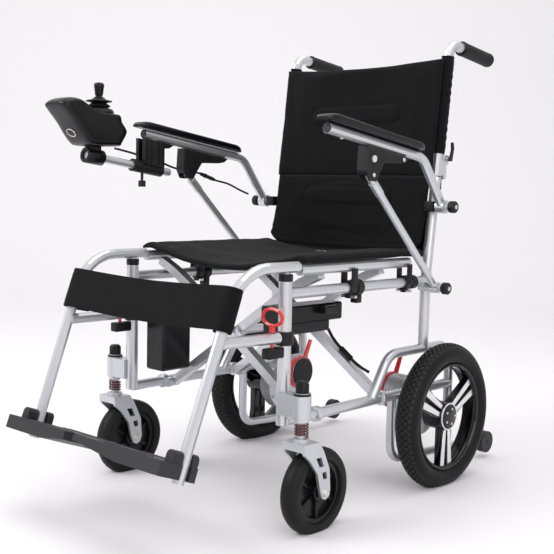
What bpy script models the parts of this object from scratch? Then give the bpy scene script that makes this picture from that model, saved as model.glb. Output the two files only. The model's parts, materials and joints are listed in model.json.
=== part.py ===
"""Folding power wheelchair: two side frames joined by an X brace, as separate solids in metres.

+Z is up, the chair faces -Y, and the sitter's left is +X. Every left piece is drawn once and
mirrored for the right. Points are (x, y, z) from the drawing datum, which stands ORIGIN_Y ahead
of the middle of the overall length; the last step moves every piece by that much, so that the
origin ends under the middle of the chair, on the floor.
"""
import math

import bmesh
import bpy
from mathutils import Matrix, Vector

# ---- driving dimensions -------------------------------------------------------------------
ORIGIN_Y = 0.04035
GAP = 0.0004  # running clearance between touching pieces

FRAME_X = 0.215  # plane of each side frame
TUBE_R = 0.011
POST_Y, POST_R = -0.25, 0.0125
POST_LOW, POST_TOP = 0.199, 0.462
REAR_Y = 0.196
TOP_Z, LOW_Z = 0.4385, 0.205
RAIL_Z, RAIL_R = 0.48, 0.0105
RAIL_FRONT, RAIL_REAR = -0.2145, 0.128

CANE_LEAN = 0.1175  # run of the back canes per unit of height
HINGE_Z = 0.6595  # the back folds here
HINGE_Y = 0.243

AXLE_Y, AXLE_Z, WHEEL_R = 0.199, 0.155, 0.155
WHEEL_X, TYRE_R = 0.269, 0.0245
RIM_R = WHEEL_R - 2 * TYRE_R

STEM_X, STEM_Y = 0.265, -0.255  # caster stem
CASTER_TRAIL, CASTER_R, CASTER_W = 0.040, 0.081, 0.036

LEAF_Y = {"a": (-0.172, 0.064), "b": (-0.148, 0.040)}  # planes of the brace legs
LEAF_T = 0.018
FOOT_X, PIVOT_Z = 0.194, 0.3385  # lower pins and centre pins of the brace

ARM_X, ARM_R = 0.254, 0.010
ARM_PIVOT = (0.190, 0.5965)
ARM_BEND = (0.111, 0.695)
ARM_FRONT = (-0.192, 0.737)
STRUT_TOP = (-0.067, 0.656)
CATCH = (-0.0665, 0.6865)  # button that frees the armrest
STRUT_FOOT = (0.175, 0.428)

LEG_R = 0.0105
LEG_TOP_Z = 0.486
LEG_FOOT = (0.207, -0.497, 0.139)
LEG_TILT = math.radians(20.5)
PIN_RISE = 0.0435  # footplate pin above the end of the leg tube

STICK = (-0.254, -0.310, 0.765)  # pivot of the joystick
BUTTON = Vector((-0.254, -0.3680, 0.7888))  # power button, on the sloping panel of the case
PANEL_NORMAL = Vector((0, 0.0210, 0.0410)).normalized()

SILVER, BLACK, SATIN = "silver_paint", "black_plastic", "black_satin"


# ---- modelling helpers --------------------------------------------------------------------
def clear_scene():
    """Remove whatever the file starts with."""
    for obj in list(bpy.data.objects):
        bpy.data.objects.remove(obj, do_unlink=True)


def new_collection(name):
    coll = bpy.data.collections.new(name)
    bpy.context.scene.collection.children.link(coll)
    return coll


def make_material(name, colour, roughness, metallic=0.0):
    mat = bpy.data.materials.new(name)
    mat.use_nodes = True
    shader = mat.node_tree.nodes["Principled BSDF"]
    shader.inputs["Base Color"].default_value = (*colour, 1.0)
    shader.inputs["Roughness"].default_value = roughness
    shader.inputs["Metallic"].default_value = metallic
    mat.diffuse_color = (*colour, 1.0)
    return mat


def link_bmesh(bm, name="piece"):
    mesh = bpy.data.meshes.new(name)
    bmesh.ops.recalc_face_normals(bm, faces=bm.faces)
    bm.to_mesh(mesh)
    bm.free()
    obj = bpy.data.objects.new(name, mesh)
    WORK.objects.link(obj)
    return obj


def settle(obj):
    """Turn a curve or a modified mesh into a plain closed mesh, in world coordinates."""
    graph = bpy.context.evaluated_depsgraph_get()
    mesh = bpy.data.meshes.new_from_object(obj.evaluated_get(graph), depsgraph=graph)
    mesh.transform(obj.matrix_world)
    bm = bmesh.new()
    bm.from_mesh(mesh)
    bmesh.ops.remove_doubles(bm, verts=bm.verts, dist=2e-6)
    bmesh.ops.dissolve_degenerate(bm, edges=bm.edges, dist=2e-6)
    bpy.data.objects.remove(obj, do_unlink=True)
    return link_bmesh(bm)


def box(low, high, bevel=0.0):
    """An upright box between two corners, with its edges rounded by bevel."""
    low, high = Vector(low), Vector(high)
    bm = bmesh.new()
    bmesh.ops.create_cube(bm, size=1.0)
    bmesh.ops.scale(bm, vec=high - low, verts=bm.verts)
    bmesh.ops.translate(bm, vec=(low + high) / 2, verts=bm.verts)
    obj = link_bmesh(bm)
    if bevel:
        mod = obj.modifiers.new("round", "BEVEL")
        mod.width = bevel
        mod.segments = 1
        obj = settle(obj)
    return obj


def rod(start, end, radius, sides=10, end_radius=None):
    """A round bar, or a cone, from start to end."""
    start, end = Vector(start), Vector(end)
    run = end - start
    bm = bmesh.new()
    bmesh.ops.create_cone(bm, cap_ends=True, segments=sides, radius1=radius,
                          radius2=end_radius or radius, depth=run.length)
    turn = run.to_track_quat("Z", "Y").to_matrix().to_4x4()
    bmesh.ops.transform(bm, matrix=Matrix.Translation((start + end) / 2) @ turn, verts=bm.verts)
    return link_bmesh(bm)


def rounded(points, bends, steps=5):
    """The points of a path whose inner corners are arcs of the given radii."""
    points = [Vector(p) for p in points]
    path = [points[0]]
    for before, corner, after, radius in zip(points, points[1:], points[2:], bends):
        back, ahead = (before - corner).normalized(), (after - corner).normalized()
        half = back.angle(ahead) / 2
        middle = corner + (back + ahead).normalized() * (radius / math.sin(half))
        first = corner + back * (radius / math.tan(half)) - middle
        last = corner + ahead * (radius / math.tan(half)) - middle
        axis, sweep = first.cross(last), first.angle(last)
        for k in range(steps + 1):
            path.append(middle + Matrix.Rotation(sweep * k / steps, 3, axis) @ first)
    path.append(points[-1])
    return path


def tube(points, radius, bends=(), steps=4, level=3):
    """A bent round tube with closed ends."""
    path = rounded(points, bends, steps) if bends else points
    curve = bpy.data.curves.new("tube", "CURVE")
    curve.dimensions = "3D"
    curve.bevel_depth = radius
    curve.bevel_resolution = level
    curve.use_fill_caps = True
    spline = curve.splines.new("POLY")
    spline.points.add(len(path) - 1)
    for knot, point in zip(spline.points, path):
        knot.co = (*point, 1.0)
    obj = bpy.data.objects.new("tube", curve)
    WORK.objects.link(obj)
    return settle(obj)


def plate(outline, x_low, x_high, bevel=0.0):
    """A flat plate in the YZ plane: outline is (y, z) corners, thickness from x_low to x_high."""
    bm = bmesh.new()
    corners = [bm.verts.new((x_low, y, z)) for y, z in outline]
    face = bm.faces.new(corners)
    made = bmesh.ops.extrude_face_region(bm, geom=[face])
    moved = [v for v in made["geom"] if isinstance(v, bmesh.types.BMVert)]
    bmesh.ops.translate(bm, vec=(x_high - x_low, 0, 0), verts=moved)
    obj = link_bmesh(bm)
    if bevel:
        mod = obj.modifiers.new("round", "BEVEL")
        mod.width = bevel
        mod.segments = 1
        mod.limit_method = "ANGLE"
        obj = settle(obj)
    return obj


def bellied(outline, middle, x_middle, widths):
    """A (y, z) outline carried along X and shrunk towards its middle at both ends.

    widths is (half width, share of full size) from the outside in.
    """
    stations = [(x_middle - half, share) for half, share in widths]
    stations += [(x_middle + half, share) for half, share in widths[::-1]]
    bm = bmesh.new()
    rings = [[bm.verts.new((x, middle[0] + (y - middle[0]) * share, middle[1] + (z - middle[1]) * share))
              for y, z in outline] for x, share in stations]
    for low, high in zip(rings, rings[1:]):
        for k in range(len(outline)):
            n = (k + 1) % len(outline)
            bm.faces.new((low[k], low[n], high[n], high[k]))
    bm.faces.new(rings[0][::-1])
    bm.faces.new(rings[-1])
    return link_bmesh(bm)


def turned(profile, origin, axis, steps=24, ring=False):
    """A lathe shape: profile is (radius, height) down its outer side; a ring closes on itself."""
    mesh = bpy.data.meshes.new("turned")
    verts = [(r, 0.0, h) for r, h in profile]
    edges = [(k, k + 1) for k in range(len(verts) - 1)]
    if ring:
        edges.append((len(verts) - 1, 0))
    mesh.from_pydata(verts, edges, [])
    obj = bpy.data.objects.new("turned", mesh)
    WORK.objects.link(obj)
    mod = obj.modifiers.new("turn", "SCREW")
    mod.steps = mod.render_steps = steps
    mod.use_merge_vertices = True
    mod.merge_threshold = 1e-5
    obj = settle(obj)
    turn = Vector(axis).to_track_quat("Z", "Y").to_matrix().to_4x4()
    obj.data.transform(Matrix.Translation(origin) @ turn)
    return obj


def collar(start, end, outer, inner, steps=14):
    """A plain sleeve from start to end."""
    start, end = Vector(start), Vector(end)
    height = (end - start).length
    profile = [(outer, height), (outer, 0.0), (inner, 0.0), (inner, height)]
    return turned(profile, start, end - start, steps, ring=True)


def combine(base, others, operation):
    """Join the others to the base, or cut them out of it, in one step."""
    group = bpy.data.collections.new("operands")
    for other in others:
        group.objects.link(other)
    mod = base.modifiers.new("join", "BOOLEAN")
    mod.operation = operation
    mod.solver = "EXACT"
    mod.operand_type = "COLLECTION"
    mod.collection = group
    base = settle(base)
    for other in others:
        bpy.data.objects.remove(other, do_unlink=True)
    bpy.data.collections.remove(group)
    return base


def fused(pieces, cuts=()):
    """One solid from overlapping pieces, with the cuts taken out of it."""
    base = pieces[0]
    if len(pieces) > 1:
        base = combine(base, pieces[1:], "UNION")
    if cuts:
        base = combine(base, list(cuts), "DIFFERENCE")
    return base


def finish(obj, name, material, pivot=(0.0, 0.0, 0.0)):
    """Name the piece, give it its material and put its origin on its joint axis."""
    pivot = Vector(pivot)
    obj.name = obj.data.name = name
    obj.data.transform(Matrix.Translation(-pivot))
    obj.location = pivot
    obj.data.materials.clear()
    obj.data.materials.append(MATERIALS[material])
    obj.data.shade_smooth()
    obj.data.set_sharp_from_angle(angle=math.radians(32))
    WORK.objects.unlink(obj)
    PARTS.objects.link(obj)
    return obj


def mirrored(obj, keep=False):
    """The same piece for the other side of the chair."""
    bm = bmesh.new()
    bm.from_mesh(obj.data)
    bmesh.ops.scale(bm, vec=(-1, 1, 1), verts=bm.verts)
    bmesh.ops.reverse_faces(bm, faces=bm.faces)
    if not keep:
        bpy.data.objects.remove(obj, do_unlink=True)
    return link_bmesh(bm)


def both(obj, name, material, pivot=(0.0, 0.0, 0.0)):
    """Finish the left piece and make its mirror image for the right."""
    other = mirrored(obj, keep=True)
    finish(obj, "left_" + name, material, pivot)
    finish(other, "right_" + name, material, (-pivot[0], pivot[1], pivot[2]))


def side(y, z, x=FRAME_X):
    return (x, y, z)


def cane_y(z):
    """Y of the back cane's axis at a height."""
    return REAR_Y + max(0.0, z - TOP_Z) * CANE_LEAN


# ---- side frames --------------------------------------------------------------------------
def rail_cradle(y, half):
    """An open-topped saddle on the frame tube: two cheeks beside the seat rail and a bolt below."""
    x = FRAME_X
    ring = rod(side(y - half - 0.0008, TOP_Z), side(y + half + 0.0008, TOP_Z), 0.0150, 12)
    cheeks = [box((x + s * 0.01285 - 0.0015, y - half, TOP_Z + 0.002),
                  (x + s * 0.01285 + 0.0015, y + half, 0.477)) for s in (-1, 1)]
    web = box((x - 0.006, y - half * 0.7, TOP_Z - 0.020), (x + 0.006, y + half * 0.7, TOP_Z - 0.0125))
    bolt = rod((x - 0.018, y, TOP_Z - 0.0165), (x + 0.018, y, TOP_Z - 0.0165), 0.0030, 8)
    return [ring, *cheeks, web, bolt]


def frame_fittings():
    """Bush, collar, latch block, saddles, clamp, joiner and pivot caps, all fixed on a side frame."""
    x = FRAME_X
    bush = collar(side(POST_Y, POST_TOP - 0.001), side(POST_Y, 0.4745), POST_R - 0.0005, 0.0068)
    band = rod(side(POST_Y, 0.346), side(POST_Y, 0.371), 0.0165, 16)
    latch = box((x - 0.010, -0.300, 0.3245), (x + 0.010, POST_Y - POST_R + 0.003, 0.3435), 0.0015)
    clamp = rod(side(-0.052, TOP_Z), side(-0.034, TOP_Z), 0.0155, 16)
    foot = box((x - 0.0085, -0.051, 0.408), (x + 0.0085, -0.035, TOP_Z - 0.008), 0.002)
    joiner = rod(side(0.134, TOP_Z), side(0.150, TOP_Z), 0.0145, 16)
    caps = [rod((0.2724, *p), (0.2880, *p), 0.0125, 14) for p in (ARM_PIVOT, STRUT_FOOT)]
    return [bush, band, latch, clamp, foot, joiner, *caps,
            *rail_cradle(-0.0655, 0.009), *rail_cradle(0.118, 0.008)]


def brace_castings(name):
    """Lugs on the lower tube, each with the pin that one brace leg turns on."""
    solids = []
    for leaf_y, toward in zip(LEAF_Y[name], (1, -1) if name == "a" else (-1, 1)):
        face = leaf_y + toward * (LEAF_T / 2 + GAP)
        far = face + toward * 0.0106
        solids.append(rod((FOOT_X, face, LOW_Z), (FOOT_X, far, LOW_Z), 0.0105, 14))
        solids.append(box((FOOT_X, min(face, far) + 0.0004, LOW_Z - 0.0085),
                          (FRAME_X + 0.002, max(face, far) - 0.0004, LOW_Z + 0.0085)))
        solids.append(rod((FOOT_X, face + toward * 0.004, LOW_Z),
                          (FOOT_X, leaf_y - toward * (LEAF_T / 2 + 0.003), LOW_Z), 0.0042, 10))
        ring = [(FRAME_X, y, LOW_Z) for y in (min(face, far) - 0.0006, max(face, far) + 0.0006)]
        solids.append(rod(*ring, 0.0150, 12))
    return solids


def side_frame(name, brace):
    x = FRAME_X
    pieces = [
        rod(side(POST_Y, POST_LOW), side(POST_Y, POST_TOP), POST_R, 14),
        rod(side(POST_Y, TOP_Z), side(REAR_Y, TOP_Z), TUBE_R - GAP),
        tube([side(REAR_Y, 0.290), side(REAR_Y, TOP_Z), side(cane_y(0.6585), 0.6585)],
             TUBE_R, [0.05], 2),
        rod(side(POST_Y, LOW_Z), side(0.300, LOW_Z), TUBE_R - 0.0005),
        tube([side(0.015, LOW_Z), side(0.0725, 0.293), side(0.300, 0.293), side(0.300, 0.060)],
             TUBE_R - 0.001, [0.05, 0.045], 3),
        tube([side(0.087, LOW_Z), side(0.087, 0.070), side(0.412, 0.0505)], 0.009, [0.035], 3),
        # axle plate and axle
        rod((x - 0.004, AXLE_Y, AXLE_Z), (x + 0.004, AXLE_Y, AXLE_Z), 0.050, 20),
        rod((x, AXLE_Y, AXLE_Z), (0.2790, AXLE_Y, AXLE_Z), 0.008),
        # anti-tip wheel pin
        rod((x - 0.002, 0.445, 0.047), (0.2375, 0.445, 0.047), 0.004, 8),
        box((x - 0.004, 0.4000, 0.040), (x + 0.004, 0.452, 0.060), 0.002),
        # arm pivot bracket and pin
        box((x + 0.0015, ARM_PIVOT[0] - 0.011, ARM_PIVOT[1] - 0.011),
            (0.2380, 0.222, ARM_PIVOT[1] + 0.011), 0.001),
        rod((0.2300, *ARM_PIVOT), (0.2730, *ARM_PIVOT), 0.006),
        # strut foot stub and pin
        rod((x, *STRUT_FOOT), (0.2420, *STRUT_FOOT), 0.0095),
        rod((0.2400, *STRUT_FOOT), (0.2730, *STRUT_FOOT), 0.006),
        # half-fold hinge: bracket and inner knuckle
        box((x - 0.008, 0.222, 0.632), (x - GAP, 0.2460, 0.6575), 0.001),
        rod((x - 0.0085, HINGE_Y, HINGE_Z), (x - 2 * GAP, HINGE_Y, HINGE_Z), 0.006),
    ]
    frame = fused(pieces + frame_fittings() + brace_castings(brace))
    if name == "right_side_frame":
        frame = mirrored(frame)
    finish(frame, name, SILVER)


def caster_housing():
    """Suspension tube with its cap, clamped on the front post."""
    low, top = 0.221, 0.262
    x, y = STEM_X, STEM_Y
    barrel = rod((x, y, low), (x, y, top), 0.0165, 20)
    block = box((FRAME_X + 0.002, y - 0.014, low + 0.0005), (x, y + 0.014, top - 0.0005))
    seat_ring = rod((x, y, 0.2145), (x, y, low + 0.002), 0.0140, 20)
    cap_profile = [(0.0, 0.287), (0.008, 0.286), (0.0115, 0.282), (0.0115, 0.267), (0.0150, 0.267),
                   (0.0150, top - 0.001), (0.0, top - 0.001)]
    cap = turned(cap_profile, (x, y, 0), (0, 0, 1), 16)
    stem_bore = rod((x, y, 0.2), (x, y, 0.2595), 0.0080, 16)
    post_bore = rod(side(POST_Y, 0.2), side(POST_Y, 0.3), POST_R + GAP, 20)
    both(fused([barrel, block, seat_ring, cap], [stem_bore, post_bore]), "caster_housing", SILVER)


def motor():
    """Hub gearbox, its motor and the end cover."""
    gearbox = rod((0.178, AXLE_Y, AXLE_Z), (0.2035, AXLE_Y, AXLE_Z), 0.060, 24)
    boss = rod((0.200, AXLE_Y, AXLE_Z), (0.2106, AXLE_Y, AXLE_Z), 0.028, 20)
    barrel = rod((0.126, AXLE_Y, 0.190), (0.182, AXLE_Y, 0.190), 0.0355, 28)
    both(fused([gearbox, boss, barrel]), "motor", SILVER)


def brake_lever():
    """Release ring and lever around the motor barrel."""
    ring = collar((0.1290, AXLE_Y, 0.190), (0.1370, AXLE_Y, 0.190), 0.0400, 0.0360, 24)
    lean = Vector((0, 0.033, 0.072)).normalized()
    foot = Vector((0.133, AXLE_Y, 0.190)) + lean * 0.038
    lever = rod(foot, foot + lean * 0.044, 0.0058, 10, 0.0048)
    both(fused([ring, lever]), "brake_lever", "red_plastic", (0.133, AXLE_Y, 0.190))


def drive_wheel():
    """Tyre and rim; the rim is turned, then fitted with three double spokes."""
    section = 8
    ring = [(WHEEL_R - TYRE_R + TYRE_R * math.cos(a), -TYRE_R * 1.08 * math.sin(a))
            for a in (2 * math.pi * k / section for k in range(section))]
    tyre = turned(ring, (WHEEL_X, AXLE_Y, AXLE_Z), (1, 0, 0), 30, ring=True)
    hub = (WHEEL_X, AXLE_Y, AXLE_Z)
    both(tyre, "drive_tyre", "tyre_rubber", hub)

    outer, inner, half = RIM_R - 0.0006, RIM_R - 0.010, 0.019
    band = turned([(outer, half), (outer, -half), (inner, -half), (inner - 0.004, 0), (inner, half)],
                  hub, (1, 0, 0), 24, ring=True)
    barrel = rod((0.236, AXLE_Y, AXLE_Z), (0.2890, AXLE_Y, AXLE_Z), 0.030, 24)
    spokes = []
    for k in range(3):
        turn = Matrix.Translation(hub) @ Matrix.Rotation(math.radians(120 * k + 60), 4, "X")
        for shift in (-0.0105, 0.0105):
            spoke = box((-0.006, shift - 0.0065, 0.020), (0.012, shift + 0.0065, inner + 0.003))
            spoke.data.transform(turn)
            spokes.append(spoke)
    bore = rod((0.2, AXLE_Y, AXLE_Z), (0.2800, AXLE_Y, AXLE_Z), 0.0084, 16)
    both(fused([barrel, band, *spokes], [bore]), "drive_rim", "rim_black", hub)


def anti_tip_wheel():
    hub = (0.2290, 0.445, 0.047)
    wheel = collar((0.2200, 0.445, 0.047), (0.2370, 0.445, 0.047), 0.025, 0.0044, 20)
    both(wheel, "anti_tip_wheel", BLACK, hub)


# ---- casters ------------------------------------------------------------------------------
def caster_spring():
    turns, per_turn, low, high = 3.5, 7, 0.1872, 0.2122
    count = int(turns * per_turn)
    points = []
    for k in range(count + 1):
        angle = 2 * math.pi * k / per_turn
        points.append((STEM_X + 0.0118 * math.cos(angle), STEM_Y + 0.0118 * math.sin(angle),
                       low + (high - low) * k / count))
    both(tube(points, 0.0017, level=1), "caster_spring", "spring_red", (STEM_X, STEM_Y, 0.2122))


def caster_fork():
    """Crown, two slotted arms, stem and the lower spring seat."""
    axle_y, axle_z = STEM_Y + CASTER_TRAIL, CASTER_R
    outline = [(-0.276, 0.178), (-0.234, 0.178), (-0.222, 0.160), (-0.205, 0.125), (-0.2015, 0.085),
               (-0.206, 0.073), (-0.215, 0.069), (-0.224, 0.073), (-0.229, 0.085), (-0.238, 0.120),
               (-0.258, 0.146), (-0.274, 0.160)]
    arms = [plate(outline, STEM_X + s * 0.0235 - 0.0030, STEM_X + s * 0.0235 + 0.0030) for s in (-1, 1)]
    crown = box((STEM_X - 0.0262, -0.276, 0.1645), (STEM_X + 0.0262, -0.235, 0.1790))
    seat = rod((STEM_X, STEM_Y, 0.178), (STEM_X, STEM_Y, 0.1850), 0.0150, 20)
    stem = rod((STEM_X, STEM_Y, 0.178), (STEM_X, STEM_Y, 0.2505), 0.0075, 12)
    axle = rod((STEM_X - 0.0300, axle_y, axle_z), (STEM_X + 0.0300, axle_y, axle_z), 0.0045, 10)
    windows = [plate([(-0.243, 0.150), (-0.229, 0.150), (-0.221, 0.132), (-0.233, 0.132)], 0.2, 0.33),
               plate([(-0.2255, 0.121), (-0.2145, 0.121), (-0.2110, 0.108), (-0.2220, 0.108)], 0.2, 0.33)]
    both(fused([crown, *arms, seat, stem, axle], windows), "caster_fork", SILVER,
         (STEM_X, STEM_Y, 0.178))


def caster_wheel():
    """Solid tyre with its hub in one piece, on a plain bore."""
    edge, half = CASTER_R, CASTER_W / 2
    profile = [(0.016, half), (0.0555, half * 0.65), (edge - 0.007, half), (edge, half * 0.5),
               (edge, -half * 0.5), (edge - 0.007, -half), (0.0555, -half * 0.65), (0.016, -half),
               (0.0049, -half), (0.0049, half)]
    hub = (STEM_X, STEM_Y + CASTER_TRAIL, CASTER_R)
    both(turned(profile, hub, (1, 0, 0), 24, ring=True), "caster_wheel", "tyre_rubber", hub)


# ---- X brace and seat ---------------------------------------------------------------------
def ribbon(path, half, y_low, y_high):
    """A bar of rectangular section along a bent path of (x, z) points."""
    path = [Vector(p) for p in path]
    left, right = [], []
    for k, point in enumerate(path):
        runs = [(b - a).normalized() for a, b in zip(path, path[1:])]
        before, after = runs[max(k - 1, 0)], runs[min(k, len(runs) - 1)]
        mean = (before + after).normalized()
        reach = half / mean.dot(before)
        left.append(point + Vector((-mean.y, mean.x)) * reach)
        right.append(point - Vector((-mean.y, mean.x)) * reach)
    return extruded(left + right[::-1], y_low, y_high)


def extruded(outline, y_low, y_high):
    """A flat outline of (x, z) points, carried along Y."""
    bm = bmesh.new()
    face = bm.faces.new([bm.verts.new((x, y_low, z)) for x, z in outline])
    made = bmesh.ops.extrude_face_region(bm, geom=[face])
    moved = [v for v in made["geom"] if isinstance(v, bmesh.types.BMVert)]
    bmesh.ops.translate(bm, vec=(0, y_high - y_low, 0), verts=moved)
    return link_bmesh(bm)


def scissor_leg(name, foot, pivot_boss):
    """One member of the X brace: foot is the side (+1 left) that it stands on."""
    head = -foot
    half = LEAF_T / 2
    slope = (PIVOT_Z - LOW_Z) / FOOT_X
    solids = [rod((head * FRAME_X, RAIL_FRONT, RAIL_Z), (head * FRAME_X, RAIL_REAR, RAIL_Z), RAIL_R, 12)]
    bores = []
    for leaf_y, toward in zip(LEAF_Y[name], (1, -1)):
        path = [(foot * (FOOT_X - 0.004), LOW_Z + 0.004 * slope), (head * 0.124, PIVOT_Z + 0.124 * slope),
                (head * 0.169, 0.4500), (head * 0.211, 0.4690)]
        solids.append(ribbon(path, half - 0.0002, leaf_y - half, leaf_y + half))
        solids.append(rod((foot * FOOT_X, leaf_y - half + 0.0003, LOW_Z),
                          (foot * FOOT_X, leaf_y + half - 0.0003, LOW_Z), 0.0098, 14))
        bores.append(rod((foot * FOOT_X, leaf_y - 0.02, LOW_Z), (foot * FOOT_X, leaf_y + 0.02, LOW_Z),
                         0.0047, 12))
        if pivot_boss:
            solids.append(rod((0, leaf_y, PIVOT_Z), (0, leaf_y + toward * (half + 0.0056), PIVOT_Z),
                              0.008, 12))
    joint = (foot * FOOT_X, 0, LOW_Z) if name == "a" else (0, 0, PIVOT_Z)
    finish(fused(solids, bores), "scissor_leg_" + name, SILVER, joint)


def seat():
    """Cloth slung between the rails, with its padding."""
    top = [(0.2270, 0.5110), (0.2000, 0.5110), (0.1500, 0.4985), (0.0600, 0.4850)]
    bottom = [(0.2270, 0.4925), (0.2010, 0.4925), (0.1500, 0.4800), (0.0600, 0.4680)]
    outline = top + [(-x, z) for x, z in top[::-1]] + [(-x, z) for x, z in bottom] + bottom[::-1]
    finish(extruded(outline, -0.2140, 0.1720), "seat_sling", "black_fabric", (-FRAME_X, 0, RAIL_Z))


def back_panel(name, low, high, width, pouch=False):
    """Upholstery in front of the canes; the pouch is its slack, behind the sitter's hips."""
    front, rear = 0.030, 0.0125
    outline = [(cane_y(low) - front, low), (cane_y(low) - rear, low),
               (cane_y(high) - rear, high), (cane_y(high) - front, high)]
    solids = [plate(outline, -width / 2, width / 2, 0.004)]
    if pouch:
        solids.append(plate([(0.1765, 0.4980), (0.2000, 0.4800), (0.2300, 0.4820), (0.2480, 0.5050),
                             (0.2500, 0.5400), (0.2360, 0.5900), (0.2120, 0.6300), (0.2000, 0.6300),
                             (0.1850, 0.5170)], -0.2020, 0.2020))
    finish(fused(solids), name, "black_fabric", (FRAME_X, 0, low))


# ---- back canes ---------------------------------------------------------------------------
def back_cane():
    low = HINGE_Z + 0.0010
    x = FRAME_X
    grip_end = (x, 0.3010, 0.9375)
    path = [(x, cane_y(low), low), (x, 0.2555, 0.9460), grip_end]
    cane = tube(path, TUBE_R, [0.030], 5)
    core = rod((x, 0.2950, 0.9381), (x, 0.4100, 0.9246), 0.0085, 12)
    bracket = box((x + GAP, 0.2260, low + 0.0015), (x + 0.008, 0.2500, 0.690), 0.001)
    knuckle = rod((x + 2 * GAP, HINGE_Y, HINGE_Z), (x + 0.0085, HINGE_Y, HINGE_Z), 0.0055, 12)
    lever_pin = rod((x, 0.2560, 0.7000), (x + 0.008, 0.2560, 0.7000), 0.003, 8)
    lug = box((x + 3 * GAP, 0.2260, 0.6850), (x + 0.006, 0.2600, 0.7060), 0.001)
    both(fused([cane, core, bracket, knuckle, lug, lever_pin]), "back_cane", SILVER,
         (x, HINGE_Y, HINGE_Z))


def push_handle():
    start, end = Vector((FRAME_X, 0.3020, 0.93729)), Vector((FRAME_X, 0.4180, 0.9237))
    length = (end - start).length
    profile = [(0.0, length), (0.012, length), (0.0160, length - 0.005), (0.0150, length - 0.010),
               (0.0145, 0.008), (0.0160, 0.004), (0.0160, 0.0004), (0.0090, 0.0004),
               (0.0090, length - 0.0065), (0.0, length - 0.0065)]
    both(turned(profile, start, end - start, 14), "push_handle", "grip_rubber", tuple(start))


def back_fold_lever():
    """Catch lever behind the hinge."""
    outline = [(0.2530, 0.6930), (0.2640, 0.6930), (0.2700, 0.7200), (0.2670, 0.7340), (0.2600, 0.7330),
               (0.2620, 0.7180)]
    pivot = (FRAME_X + 0.011, 0.2560, 0.7000)
    lever = plate(outline, FRAME_X + 0.0084, FRAME_X + 0.0134, 0.001)
    both(lever, "back_release_lever", BLACK, pivot)


# ---- armrests -----------------------------------------------------------------------------
def arm(y, z, x=ARM_X):
    return (x, y, z)


def arm_line(y):
    """Height of the straight part of the arm tube's axis."""
    run = (ARM_FRONT[1] - ARM_BEND[1]) / (ARM_FRONT[0] - ARM_BEND[0])
    return ARM_BEND[1] + run * (y - ARM_BEND[0])


def armrest_tube():
    bar = tube([arm(*ARM_FRONT), arm(*ARM_BEND), arm(*ARM_PIVOT)], ARM_R, [0.045], 5)
    eye = rod((0.2440, *ARM_PIVOT), (0.2640, *ARM_PIVOT), 0.0140, 18)
    bore = rod((0.2400, *ARM_PIVOT), (0.2700, *ARM_PIVOT), 0.0064, 14)
    both(fused([bar, eye], [bore]), "armrest_tube", SILVER, (ARM_X, *ARM_PIVOT))


def armrest_pad():
    low, high, front, rear = 0.0108, 0.0265, -0.2080, 0.0950
    outline = [(front, arm_line(front) + low), (rear, arm_line(rear) + low),
               (rear, arm_line(rear) + high - 0.004), (rear - 0.010, arm_line(rear) + high),
               (front + 0.020, arm_line(front + 0.020) + high), (front, arm_line(front) + low + 0.008)]
    both(plate(outline, 0.2335, 0.2785, 0.003), "armrest_pad", SATIN, (ARM_X, *ARM_PIVOT))


def armrest_latch():
    """Catch under the arm tube, open below where the strut enters."""
    under = [(y, arm_line(y) - 0.0112) for y in (-0.0850, 0.0520)]
    outline = [under[0], (-0.0880, 0.6640), (-0.0780, 0.6450), (-0.0560, 0.6440), (-0.0440, 0.6620),
               (-0.0300, 0.6800), (0.0240, 0.6810), (0.0400, 0.6840), under[1]]
    shell = plate(outline, 0.2415, 0.2665, 0.0015)
    slot = plate([(-0.0835, 0.6300), (-0.0330, 0.6300), (-0.0330, 0.6720), (-0.0835, 0.7060)],
                 0.2448, 0.2632)
    pocket = rod((0.2636, *CATCH), (0.2700, *CATCH), 0.0072, 16)
    both(fused([shell], [slot, pocket]), "armrest_latch", BLACK, (ARM_X, *ARM_PIVOT))


def latch_button():
    button = rod((0.2652, *CATCH), (0.2686, *CATCH), 0.0066, 16)
    both(button, "latch_button", "white_plastic", (0.2652, *CATCH))


def arm_strut():
    foot, top = Vector(arm(*STRUT_FOOT)), Vector(arm(*STRUT_TOP))
    run = (top - foot).normalized()
    bar = rod(foot, top + run * 0.003, 0.0078, 12)
    sleeve = rod(top - run * 0.052, top - run * 0.020, 0.0093, 14)
    eye = rod((0.2444, *STRUT_FOOT), (0.2636, *STRUT_FOOT), 0.0115, 16)
    bore = rod((0.2400, *STRUT_FOOT), (0.2700, *STRUT_FOOT), 0.0064, 14)
    both(fused([bar, sleeve, eye], [bore]), "arm_strut", SILVER, tuple(foot))


# ---- legrests and footplates --------------------------------------------------------------
def leg_point(along):
    """A point on the leg tube's axis, by its distance from the lower end."""
    x, y, z = LEG_FOOT
    return Vector((x, y + along * math.sin(LEG_TILT), z + along * math.cos(LEG_TILT)))


def legrest():
    x = FRAME_X
    rise = (LEG_TOP_Z - LEG_FOOT[2]) / math.cos(LEG_TILT)
    corner = leg_point(rise)
    corner.x = x
    main = tube([side(-0.2185, LEG_TOP_Z), corner, leg_point(0)], LEG_R, [0.0995], 7)
    hinge_pin = rod(side(POST_Y, 0.4630), side(POST_Y, LEG_TOP_Z), 0.0062, 12)
    on_leg = leg_point((0.362 - LEG_FOOT[2]) / math.cos(LEG_TILT))
    brace = rod(on_leg, side(-0.2675, 0.3600), 0.0105, 12)
    shaft = rod((x, -0.2830, 0.33), (x, -0.2830, 0.40), 0.0040, 12)
    both(fused([main, hinge_pin, brace], [shaft]), "legrest", SILVER, side(POST_Y, 0.3600))


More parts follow.
